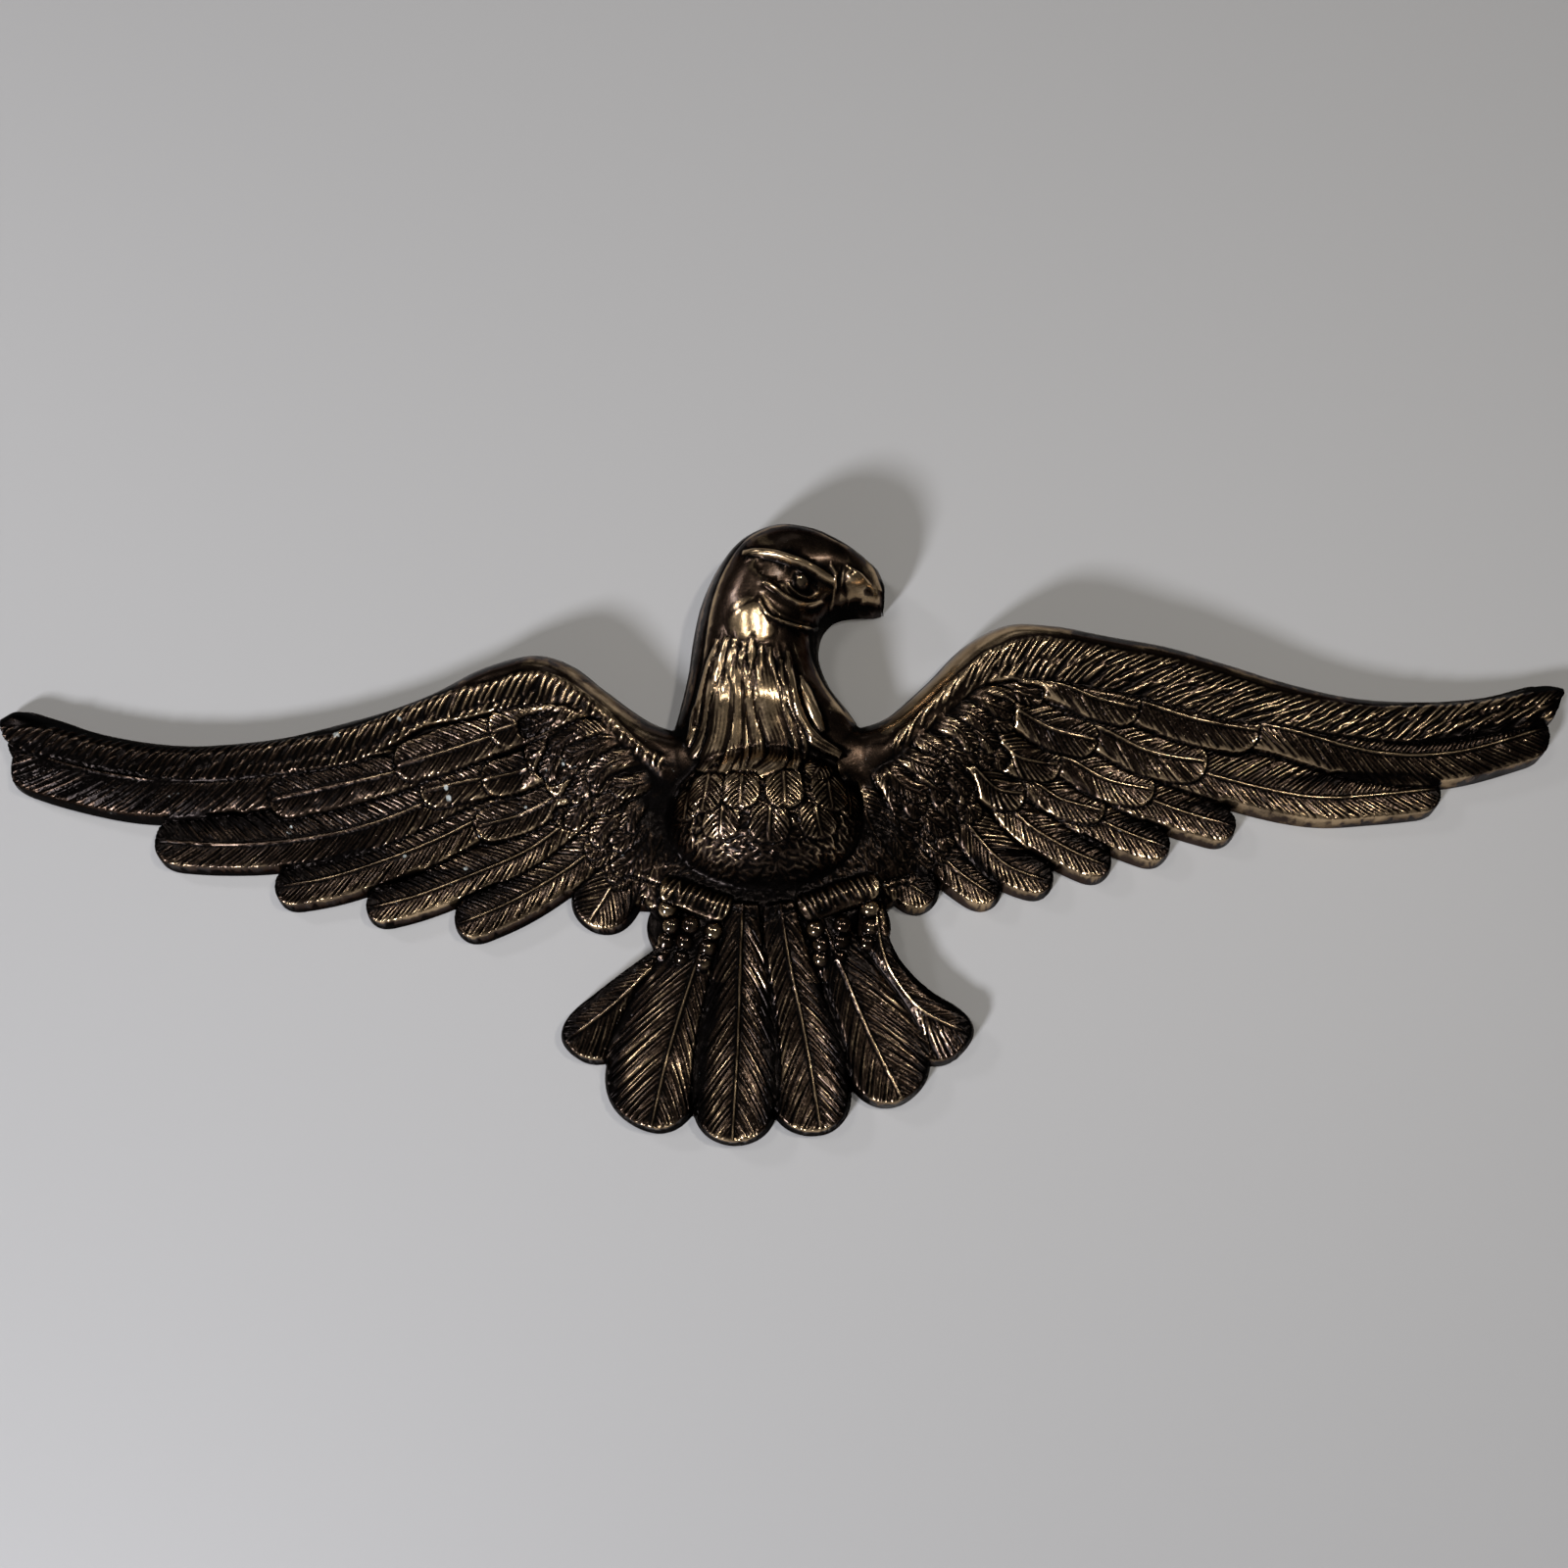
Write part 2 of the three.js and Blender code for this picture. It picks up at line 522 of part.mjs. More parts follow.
// The keyhole of the pad: a round mouth for a screw's head, and above it a slot for the shank
// with a wider chamber behind it
function keyhole() {
  const { head, slot, rise, depth, lip, z } = KEYHOLE;
  const mouth = new THREE.CylinderGeometry(head, head, depth * 2, 16);
  mouth.translate(0, 0, z);
  const shankWay = cutter(slot * 2, depth * 2, rise, 0, 0, z + rise / 2);
  const headWay = cutter(head * 2, depth - lip, rise, 0, -(depth + lip) / 2, z + rise / 2);
  return union([toSolid(mouth), shankWay, headWay]);
}

// The cut that parts the two halves of the beak
function mouthCut() {
  const path = curveThrough(MOUTH);
  return shapedBox(2, 4, (across, t, front) => {
    const point = path.getPoint(t);
    const z = point.z + (across - 0.5) * 3;
    const depth = across === 0.5 ? MOUTH_DEPTH : 0;
    return [point.x, z, front ? 90 : Math.max(neckHeight(point.x, z), 9) - depth];
  });
}

function eaglePlaque() {
  let solid = union([...wingSolids('right'), ...wingSolids('left'), ...bodySolids(), ...headSolids()]);
  solid = solid.add(union(TAIL.map((row) => feather(row, tailHeight, TAIL_ROOT_WIDTH, RIBBED_VANES))));
  const pad = cutter(PAD.width, PAD.depth, PAD.height, 0, -PAD.depth / 2, PAD.z);
  const recesses = union([wingRecess('right'), wingRecess('left'), neckRecess(), breastRecess()]);
  const hollow = recesses.subtract(pad).add(keyhole());
  const behindWall = cutter(900, 60, 500, 0, 30, 0);
  return mainBody(solid.subtract(hollow).subtract(mouthCut()).subtract(behindWall));
}

const plaque = eaglePlaque();
const brass = new THREE.MeshStandardMaterial({ color: 0x4a3b28, roughness: 0.42, metalness: 0.9 });
const mesh = new THREE.Mesh(toGeometry(plaque), brass);
mesh.name = 'eagle_plaque';

const group = new THREE.Group();
group.add(mesh);

export default group;
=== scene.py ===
import math

import bpy
import numpy as np
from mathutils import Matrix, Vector
from mathutils.geometry import delaunay_2d_cdt


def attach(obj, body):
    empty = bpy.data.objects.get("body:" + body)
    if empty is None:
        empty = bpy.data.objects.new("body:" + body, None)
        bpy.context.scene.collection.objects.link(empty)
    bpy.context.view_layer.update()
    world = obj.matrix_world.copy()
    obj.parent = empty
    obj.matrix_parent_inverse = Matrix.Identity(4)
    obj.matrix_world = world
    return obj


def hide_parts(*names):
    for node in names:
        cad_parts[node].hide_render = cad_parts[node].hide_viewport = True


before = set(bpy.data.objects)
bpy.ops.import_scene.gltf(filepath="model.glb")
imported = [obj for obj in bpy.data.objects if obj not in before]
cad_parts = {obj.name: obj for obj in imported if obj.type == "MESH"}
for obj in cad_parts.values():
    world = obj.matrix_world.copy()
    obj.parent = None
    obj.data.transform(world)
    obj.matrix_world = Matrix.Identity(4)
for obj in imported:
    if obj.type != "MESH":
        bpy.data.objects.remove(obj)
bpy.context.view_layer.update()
bpy.ops.object.select_all(action="DESELECT")


# The wings: brass cast in one with the rest, about as thick as a finger at the crest and thinning
# to a flat rim. The whole front is modelled as heights above the wall on a close grid, the way a
# founder cuts a pattern: each form is laid over the last, and its edge is then cut in with a groove.
# Lengths are millimetres up to the casting itself, x to the viewer's right and z up the wall.
STEP = 0.45
BOARD_LEFT, BOARD_RIGHT, BOARD_LOW, BOARD_HIGH = -329.0, 342.0, -170.0, 98.0
RIM = 6.5
RIM_DRAFT = 1.8
SOFT_SHOULDER = 0.12
WING_BLEND = 10.0
OUTSIDE = -9.0
EDGE = 0.8
GROOVE_DEPTH = 0.6
GROOVE_WIDTH = 0.55

# Leading edge from the neck to the tip: x, z, crest height, width of the rolled edge, and how far
# behind the crest the wing has come down to the thickness of the rim
LEADING = {
    "right": [
        (24, 3, 24, 12, 60), (38, 6, 22, 12, 60), (48, 9.5, 22, 12, 60), (65, 24, 25, 12, 62),
        (82, 41, 29, 13, 66), (99, 49.5, 30, 13, 66), (118, 49.5, 29, 12, 64), (142, 45.5, 26, 12, 62),
        (168, 41, 23, 11, 58), (192, 34, 20, 10, 52), (221, 25, 17, 9, 46), (246, 19.5, 15, 8, 42),
        (274, 18, 13, 8, 38), (302, 20, 12, 8, 34), (328, 26, 11, 8, 30), (338.5, 24.5, 9, 6, 26),
    ],
    "left": [
        (-26, 2, 24, 12, 60), (-40, 4.5, 22, 12, 60), (-50, 8.5, 22, 12, 60), (-69, 22, 26, 12, 64),
        (-82, 32, 28, 13, 66), (-97, 36.5, 29, 13, 66), (-120, 31, 27, 12, 64), (-141, 20, 24, 11, 60),
        (-161, 12.5, 21, 10, 56), (-181, 7, 19, 10, 50), (-202, 2, 17, 9, 46), (-222, -0.5, 15, 9, 42),
        (-243, -1.5, 14, 8, 40), (-264, 0.5, 13, 8, 36), (-285, 5, 12, 8, 34), (-303, 11, 11, 8, 30),
        (-318, 14.5, 10, 7, 28), (-325, 11, 8, 6, 26),
    ],
}
# The low side of each wing's bed, under the tips of the feathers, from the body outward
BED = {
    "right": [(24, -60), (60, -58), (90, -52), (130, -42), (180, -30), (236, -16), (296, 4), (329, 16)],
    "left": [(-24, -72), (-58, -71), (-90, -64), (-130, -60), (-172, -48), (-230, -30), (-288, -12),
             (-316, 4)],
}
BED_SINK = 0.8
INWARD = {"right": 1, "left": -1}

board_x = np.arange(BOARD_LEFT, BOARD_RIGHT, STEP, dtype=np.float32)
board_z = np.arange(BOARD_LOW, BOARD_HIGH, STEP, dtype=np.float32)
height = np.zeros((board_z.size, board_x.size), np.float32)
inside = np.full_like(height, OUTSIDE)


def smooth(share):
    """A soft step from 0 to 1."""
    share = np.clip(share, 0, 1)
    return share * share * (3 - 2 * share)


def soft_min(a, b, reach):
    """The lower of two heights, rounded where they meet."""
    mix = np.clip(0.5 + 0.5 * (b - a) / reach, 0, 1)
    return b + (a - b) * mix - reach * mix * (1 - mix)


def curve(points, steps=12):
    """Points along a smooth line that passes through the given ones."""
    p = np.array(points, float)
    p = np.vstack([2 * p[0] - p[1], p, 2 * p[-1] - p[-2]])
    gap = np.sqrt(np.linalg.norm(np.diff(p[:, :2], axis=0), axis=1))[:, None]
    share = (np.arange(steps) / steps)[:, None]
    made = []
    for i in range(1, len(p) - 2):
        before, here, after = gap[i - 1], gap[i], gap[i + 1]
        rise = p[i + 1] - p[i]
        leave = (rise / here + (p[i] - p[i - 1]) / before - (p[i + 1] - p[i - 1]) / (before + here)) * here
        arrive = (rise / here - (p[i + 2] - p[i]) / (here + after) + (p[i + 2] - p[i + 1]) / after) * here
        bend = (3 * rise - 2 * leave - arrive) * share ** 2 + (leave + arrive - 2 * rise) * share ** 3
        made.append(p[i] + leave * share + bend)
    return np.vstack([*made, p[-2:-1]])


def lengths_along(line):
    return np.concatenate([[0], np.cumsum(np.hypot(*np.diff(line[:, :2], axis=0).T))])


def locate(x, z, line):
    """How far along a line each place is, how far to the side of it, and the line's own length."""
    run = np.zeros_like(x)
    side = np.zeros_like(x)
    nearest = np.full_like(x, 1e9)
    start = lengths_along(line)
    for i in range(len(line) - 1):
        length = start[i + 1] - start[i]
        tx, tz = (line[i + 1, :2] - line[i, :2]) / length
        ahead = (x - line[i, 0]) * tx + (z - line[i, 1]) * tz
        across = (x - line[i, 0]) * tz - (z - line[i, 1]) * tx
        lowest = -1e6 if i == 0 else 0
        highest = 1e6 if i == len(line) - 2 else length
        held = np.clip(ahead, lowest, highest)
        gap = np.sqrt((ahead - held) ** 2 + across ** 2)
        closer = gap < nearest
        nearest[closer] = gap[closer]
        run[closer] = (start[i] + held)[closer]
        side[closer] = np.copysign(gap, across)[closer]
    return run, side, start[-1]


class Patch:
    """A window of the board, with a layer of fine marks of its own, before it is laid on."""

    def __init__(self, points, margin):
        points = np.array([p[:2] for p in points], float)
        low = points.min(0) - margin
        high = points.max(0) + margin
        columns = np.searchsorted(board_x, [low[0], high[0]])
        rows = np.searchsorted(board_z, [low[1], high[1]])
        self.cut = np.s_[rows[0]:rows[1], columns[0]:columns[1]]
        self.x, self.z = np.meshgrid(board_x[columns[0]:columns[1]], board_z[rows[0]:rows[1]])
        self.marks = np.zeros_like(self.x)

    def stroke(self, x, z, angle, length, width, rise, bend=0.0):
        """A raised line of the graver, highest in its middle. bend is its sag as a share of its length."""
        c, s = math.cos(angle), math.sin(angle)
        xs = (x, x + length * (c / 2 - s * bend / 4), x + length * (c - s * bend))
        zs = (z, z + length * (s / 2 + c * bend / 4), z + length * (s + c * bend))
        columns = np.searchsorted(self.x[0], [min(xs) - width, max(xs) + width])
        rows = np.searchsorted(self.z[:, 0], [min(zs) - width, max(zs) + width])
        cut = np.s_[rows[0]:rows[1], columns[0]:columns[1]]
        dx = self.x[cut] - x
        dz = self.z[cut] - z
        along = (dx * c + dz * s) / length
        off = dz * c - dx * s - bend * length * along * along
        section = np.clip(1 - (off / (width / 2)) ** 2, 0, 1) ** 1.3
        ends = np.clip(4 * along * (1 - along), 0, 1) ** 0.45
        self.marks[cut] = np.maximum(self.marks[cut], rise * section * ends)

    def lay(self, top, reach, over=False, blend=0.0, melt=1.0, outline=None, groove=GROOVE_DEPTH):
        """Lays a form over what is there, or only where it stands higher. reach is how far each
        place lies inside the form's edge, melt the share of it that has parted from the ground."""
        old = height[self.cut]
        form = np.clip(top + self.marks * smooth((reach - 0.1) / 0.7), 0, 90)
        if over:
            old = old - groove * melt * np.exp(-((reach + 0.3) / GROOVE_WIDTH) ** 2)
        else:
            form = -soft_min(-form, -old, blend) if blend else np.maximum(form, old)
        height[self.cut] = old + (form - old) * smooth((reach + 0.2) / EDGE) * melt
        inside[self.cut] = np.maximum(inside[self.cut], reach if outline is None else outline)


everywhere = Patch([(BOARD_LEFT, BOARD_LOW), (BOARD_RIGHT, BOARD_HIGH)], STEP)
wing_top = np.zeros_like(height)
edge_gap = np.full_like(height, OUTSIDE)
edge_place = np.zeros_like(height)
leading_lines = {}
for side, rows in LEADING.items():
    half = Patch([(0, BOARD_LOW), (BOARD_RIGHT * INWARD[side], BOARD_HIGH)], STEP)
    line = curve(rows)
    leading_lines[side] = line
    run, across, total = locate(half.x, half.z, line)
    depth = across * INWARD[side]
    depth = np.where((run < 0) | (run > total), -np.hypot(depth, np.minimum(run, total - run)), depth)
    sums = np.zeros((4, *half.x.shape), np.float32)
    for sample in line[::3]:
        weight = np.exp(-np.hypot(half.x - sample[0], half.z - sample[1]) / WING_BLEND)
        sums += np.array([1, *sample[2:]], np.float32)[:, None, None] * weight
    crest, roll, chord = sums[1:] / np.maximum(sums[0], 1e-12)
    rolled = crest * np.sqrt(np.clip(1 - (1 - np.clip(depth, 0, None) / roll) ** 2, 0, 1))
    fallen = RIM + (crest - RIM) * (1 - smooth((depth - roll) / chord))
    wing_top[half.cut] = np.where(depth < roll, rolled, fallen)
    edge_gap[half.cut] = depth
    edge_place[half.cut] = np.interp(run, lengths_along(line), np.linspace(0, 1, len(line)))
    bed_run, bed_across, bed_total = locate(half.x, half.z, curve(BED[side]))
    above_bed = -bed_across * INWARD[side]
    within = np.minimum(np.minimum(4 * depth, above_bed), np.minimum(bed_run, bed_total - bed_run))
    inside[half.cut] = np.maximum(inside[half.cut], within)
height[:] = np.clip(wing_top - BED_SINK, 0, None)


# The feathers of the wings: long quills fanned along the trailing edge and shorter coverts over
# their roots, each tucked under the one in front of it. Each was cut in the pattern as a low roof
# with a raised shaft, and its barbs were then struck in one by one with a small gouge.
# Each feather: its shaft from root to tip, the widths of its two vanes, and its lift
QUILLS = {
    "right": [
        ([(150, 8), (204, 4), (250, -7), (283, -7), (327, 5)], (9, 12.5), 0.5),
        ([(130, 2), (180, -15), (225, -25), (252, -24), (280, -21)], (11.5, 11), 0),
        ([(105, 0), (145, -20), (168, -30), (194, -38)], (9, 10), 0),
        ([(92, -2), (120, -24), (143, -38), (166, -47)], (9, 10), 0),
        ([(80, -4), (104, -34), (123, -47), (141, -55)], (10, 9), 0),
        ([(62, -10), (84, -40), (98, -54), (117, -61)], (10, 9), 0),
        ([(46, -14), (64, -41), (76, -55), (94, -68)], (11, 9), 0),
        ([(34, -24), (48, -51), (56, -60), (68, -69)], (11, 10), 0),
    ],
    "left": [
        ([(-150, -8), (-202, -17), (-253, -19), (-290, -12), (-319, -2)], (5, 16.5), 0.5),
        ([(-112, -16), (-163, -37), (-200, -44), (-227, -45), (-254, -43)], (13.5, 11.5), 0),
        ([(-96, -22), (-136, -43), (-164, -54), (-180, -59), (-203, -63)], (10, 10.5), 0),
        ([(-74, -30), (-100, -48), (-122, -58), (-145, -67), (-165, -72)], (10, 9), 0),
        ([(-58, -36), (-82, -55), (-105, -69), (-128, -79)], (11, 10), 0),
        ([(-50, -36), (-60, -54), (-66, -66), (-74, -79)], (15, 14), 0),
    ],
}
COVERTS = {
    "right": [
        ([(84, -12), (109, -19), (121, -26), (139, -31)], (7, 8), 0.9),
        ([(62, -8), (81, -13), (94, -23), (106, -24)], (7, 8), 1.3),
        ([(98, -4), (124, -10), (140, -18), (160, -22)], (7, 9), 1.1),
        ([(70, 0), (91, -4), (103, -10), (121, -12)], (7, 8), 1.5),
        ([(108, 10), (136, 2), (158, -7), (182, -11)], (7, 10), 1.3),
        ([(80, 14), (102, 8), (118, 1), (136, -3)], (7, 8), 1.7),
        ([(122, 20), (153, 12), (178, 5), (203, 1)], (9, 10), 1.5),
        ([(94, 24), (120, 18), (134, 13), (153, 9)], (9, 8), 1.9),
    ],
    "left": [
        ([(-66, -18), (-84, -25), (-102, -33), (-121, -38)], (7, 8), 0.9),
        ([(-60, -16), (-74, -16), (-82, -18), (-92, -22)], (7, 8), 1.2),
        ([(-88, -13), (-112, -18), (-127, -21), (-143, -25)], (7, 8), 0.9),
        ([(-70, -8), (-90, -12), (-102, -16), (-118, -20)], (7, 8), 1.3),
        ([(-58, -4), (-74, -4), (-88, -7), (-100, -12)], (7, 8), 1.6),
        ([(-128, -10), (-152, -17), (-176, -22), (-205, -28)], (8, 9), 1.0),
        ([(-92, 2), (-115, -4), (-134, -10), (-153, -15)], (9, 8), 1.4),
        ([(-70, 12), (-86, 7), (-98, 3), (-114, -2)], (9, 8), 1.8),
    ],
}
WING_ROOT_WIDTH = 0.72
COVERT_TUCK = 2.0
COVERT_FADE = 15.0
TIP_LENGTH = 1.1
TIP_SQUARENESS = 2.6
# How much wider the vane is that lies under the feather in front
TUCK = 5.0
QUILL_CUT = {"roof": 1.1, "shaft": 1.3, "tilt": 0.75, "groove": 0.6, "lip": 0.35,
             "pitch": 2.15, "barb": 1.1, "wide": 1.75, "angles": (50, 42)}
COVERT_CUT = {"roof": 1.0, "shaft": 1.2, "tilt": 0.6, "groove": 0.5, "lip": 0.3,
              "pitch": 1.95, "barb": 1.0, "wide": 1.6, "angles": (46, 42)}

gouge = np.random.default_rng(11)


def turn_of(line, arc, place):
    """The point at a length along a line, and the line's own direction there."""
    x = np.interp(place, arc, line[:, 0])
    z = np.interp(place, arc, line[:, 1])
    ahead_x = np.interp(place + 1, arc, line[:, 0]) - np.interp(place - 1, arc, line[:, 0])
    ahead_z = np.interp(place + 1, arc, line[:, 1]) - np.interp(place - 1, arc, line[:, 1])
    return x, z, math.atan2(ahead_z, ahead_x)


def feather(shape, ground, root_width, cut, tuck=0.0, fade=6.0, cast=True):
    """One feather with its shaft and barbs, laid over the ground below it."""
    rachis, widths, lift = shape
    line = curve(rachis)
    patch = Patch(line, max(widths) + tuck + 4)
    run, across, total = locate(patch.x, patch.z, line)
    hand = 1 if line[-1, 0] >= line[0, 0] else -1
    across = across * hand
    tip = min(0.4, max(widths) * TIP_LENGTH / total)
    into_tip = np.clip(1 - (1 - run / total) / tip, 0, 2)
    spread = root_width + (1 - root_width) * smooth(1.4 * run / total)

    def reach_for(wide):
        width = np.where(across < 0, wide[0], wide[1]) * spread
        share = np.abs(across) / width
        mean = (wide[0] + wide[1]) / 2 * spread
        scale = mean + (width - mean) * np.clip(share, 0, 1)
        return (1 - np.sqrt(share ** 2 + into_tip ** TIP_SQUARENESS)) * scale, across / width

    outline, share = reach_for(widths)
    reach = reach_for((widths[0] + tuck * smooth((0.9 - run / total) / 0.4), widths[1]))[0]
    arc = lengths_along(line)
    for vane, angle in zip((-1, 1), cut["angles"]):
        place = -cut["pitch"] * gouge.uniform(0.5, 1.5)
        while place < total - 1.5:
            x, z, heading = turn_of(line, arc, max(place, 0))
            x += min(place, 0) * math.cos(heading)
            z += min(place, 0) * math.sin(heading)
            outward = heading - hand * vane * math.radians(angle + gouge.uniform(-2, 2))
            widest = widths[(vane + 1) // 2] + (tuck if vane < 0 else 0)
            widest *= root_width + (1 - root_width) * smooth(1.4 * (place + widest) / total)
            length = widest / math.sin(math.radians(angle)) * gouge.uniform(0.95, 1.15)
            start = gouge.uniform(0.3, 0.9)
            x += start * math.cos(outward)
            z += start * math.sin(outward)
            rise = cut["barb"] * gouge.uniform(0.75, 1.1)
            patch.stroke(x, z, outward, length, cut["wide"], rise, 0.12 * hand * vane)
            place += cut["pitch"] * gouge.uniform(0.9, 1.1)
    shaft = cut["shaft"] * np.exp(-(across / 0.75) ** 2) * np.clip(1.15 - run / total, 0, 1) ** 0.3
    barbs = patch.marks / cut["barb"]
    patch.marks = np.maximum(patch.marks * smooth((np.abs(across) - 0.4) / 0.7), shaft * (outline > 1.5))
    lip = np.exp(-((outline - 0.9) / 0.5) ** 2) * cut["lip"] * (0.15 + np.clip(into_tip, 0, 1))
    held = np.clip(share, -1.2, 1)
    roof = cut["roof"] * (1 - np.abs(held) ** 1.5) * (1 - 0.4 * np.clip(into_tip, 0, 1))
    top = ground[patch.cut] + lift * smooth(run / 8) + roof + cut["tilt"] * held + lip
    frayed = reach + 0.35 * (barbs - 0.6) * (reach < 1.5)
    outline = np.minimum(outline, run) if cast else OUTSIDE
    patch.lay(top, frayed, over=True, melt=smooth(run / fade), outline=outline, groove=cut["groove"])


for side in LEADING:
    for shape in reversed(QUILLS[side]):
        feather(shape, wing_top, WING_ROOT_WIDTH, QUILL_CUT, TUCK)
    for shape in COVERTS[side]:
        feather(shape, wing_top, WING_ROOT_WIDTH, COVERT_CUT, COVERT_TUCK, COVERT_FADE)


# The small feathers of the shoulders, cut over the inner wing in loose rows, each a short tongue
# with a shaft and a few barbs. They run into the plumage of the body.
# Corners of each field: inner upper, outer upper, inner lower, outer lower, as x, z, heading
SHOULDERS = {
    "right": [(42, -8, -24), (98, 24, -18), (38, -60, -72), (58, -44, -58)],
    "left": [(-42, -12, 206), (-86, 10, 196), (-38, -66, 248), (-56, -48, 232)],
}
SHOULDER_ROWS = 7
TONGUE_SPACING = 11.0
TONGUE_OVERLAP = 1.6
TONGUE_LIFT = 0.35
TONGUE_ROOT_WIDTH = 0.75
TONGUE_CUT = {"roof": 0.65, "shaft": 0.9, "tilt": 0.3, "groove": 0.3, "lip": 0.15,
              "pitch": 1.8, "barb": 1.0, "wide": 1.5, "angles": (40, 40)}

for side, corners in SHOULDERS.items():
    corners = np.array(corners, float)
    for row in range(SHOULDER_ROWS):
        down = 1 - (row + 0.5) / SHOULDER_ROWS
        inner = corners[0] + (corners[2] - corners[0]) * down
        outer = corners[1] + (corners[3] - corners[1]) * down
        reach = math.hypot(outer[0] - inner[0], outer[1] - inner[1])
        columns = max(3, round(reach / TONGUE_SPACING))
        for column in range(columns):
            out = 1 - (column + 0.5 * (row % 2)) / columns
            x, z, heading = inner + (outer - inner) * out + gouge.uniform((-2, -2, -14), (2, 2, 14))
            turn = math.radians(heading)
            curl = math.radians(gouge.uniform(-25, 25))
            length = (TONGUE_OVERLAP * reach / columns + 3) * gouge.uniform(0.85, 1.15)
            middle = (x + length / 2 * math.cos(turn), z + length / 2 * math.sin(turn))
            end = (middle[0] + length / 2 * math.cos(turn + curl),
                   middle[1] + length / 2 * math.sin(turn + curl))
            wide = gouge.uniform(4.4, 5.4)
            shape = [(x, z), middle, end], (wide, wide), TONGUE_LIFT
            feather(shape, wing_top, TONGUE_ROOT_WIDTH, TONGUE_CUT, fade=0.5 * length, cast=False)


# The leading edge of each wing: a smooth rolled edge, then a raised band of long strokes that slant down and
# to the left on both wings, the crest bright where hands and cloth have rubbed it and where a highlight is
# painted on it.
# Where the strokes begin behind the rolled edge, and the foot of the band, from the neck outward
BAND_START = {
    "right": [(47, -7), (60, 5), (72, 17.5), (88, 30.5), (99, 35), (111, 37.6), (127, 35.8),
              (143, 32.8), (169, 29.7), (189, 23.7), (209, 17.7), (229, 14.3), (249, 11.8),
              (273, 13.5), (293, 15.3), (314, 18.7), (329, 21), (336, 22.5)],
    "left": [(-44, -11), (-50, -8), (-57.6, -1), (-65.8, 7.5), (-74.1, 14), (-82.3, 19.5), (-90.4, 22.5),
             (-98.5, 23.2), (-114, 18.7), (-132, 15), (-148, 10.7), (-164, 3.9), (-179, -1.1), (-195, -2),
             (-218, -3.6), (-238, -5.7), (-258, -3.6), (-279, -0.2), (-296, 4.1), (-320, 5)],
}
BAND_FOOT = {
    "right": [(50, -14), (62.1, -5), (70.3, 3), (78.5, 11), (86.8, 17.1), (98.9, 19.8),
              (111, 19.3), (127, 17.6), (148, 14.3), (168, 10.1), (188, 5.4), (210, 3.5),
              (230, 0.1), (250, -2), (270, -2.9), (292, -0.4), (309, 2.5), (322, 5), (333, 8)],
    "left": [(-48, -18), (-57.4, -10), (-65.5, -3), (-73.7, 4), (-85.8, 8.5), (-97.8, 9),
             (-113.6, 6), (-126, 3), (-139.4, 0.8), (-155, -7.2), (-167, -12.6), (-180, -15.4),
             (-201, -17.1), (-220, -19.2), (-236, -19.6), (-252, -18.7), (-265, -16.2),
             (-277, -14.1), (-294, -9.9), (-311, -5.7), (-323, -1)],
}
BAND_LIFT = 1.5
BAND_BORDER = 0.25
BAND_STEP = 0.5
# From here outward the foot of the band stands clear of the shoulder: distance from the middle, length
BAND_PARTS = (66.0, 34.0)
# The slanting end of the right band, from the tip of the wing down
BAND_END = [(338.5, 24.5), (330, 8)]
# Slant of the strokes from the neck to the tip, in degrees from level
BAND_SLANTS = {
    "right": [62, 60, 56, 30, 20, 18, 24, 32, 34, 32],
    "left": [66, 64, 62, 60, 58, 56, 50, 42, 38, 34],
}
BAND_PITCH = {"right": 1.9, "left": 2.6}
BAND_STROKE = {"right": 1.65, "left": 2.1}
LONGEST_STROKE = 15.0

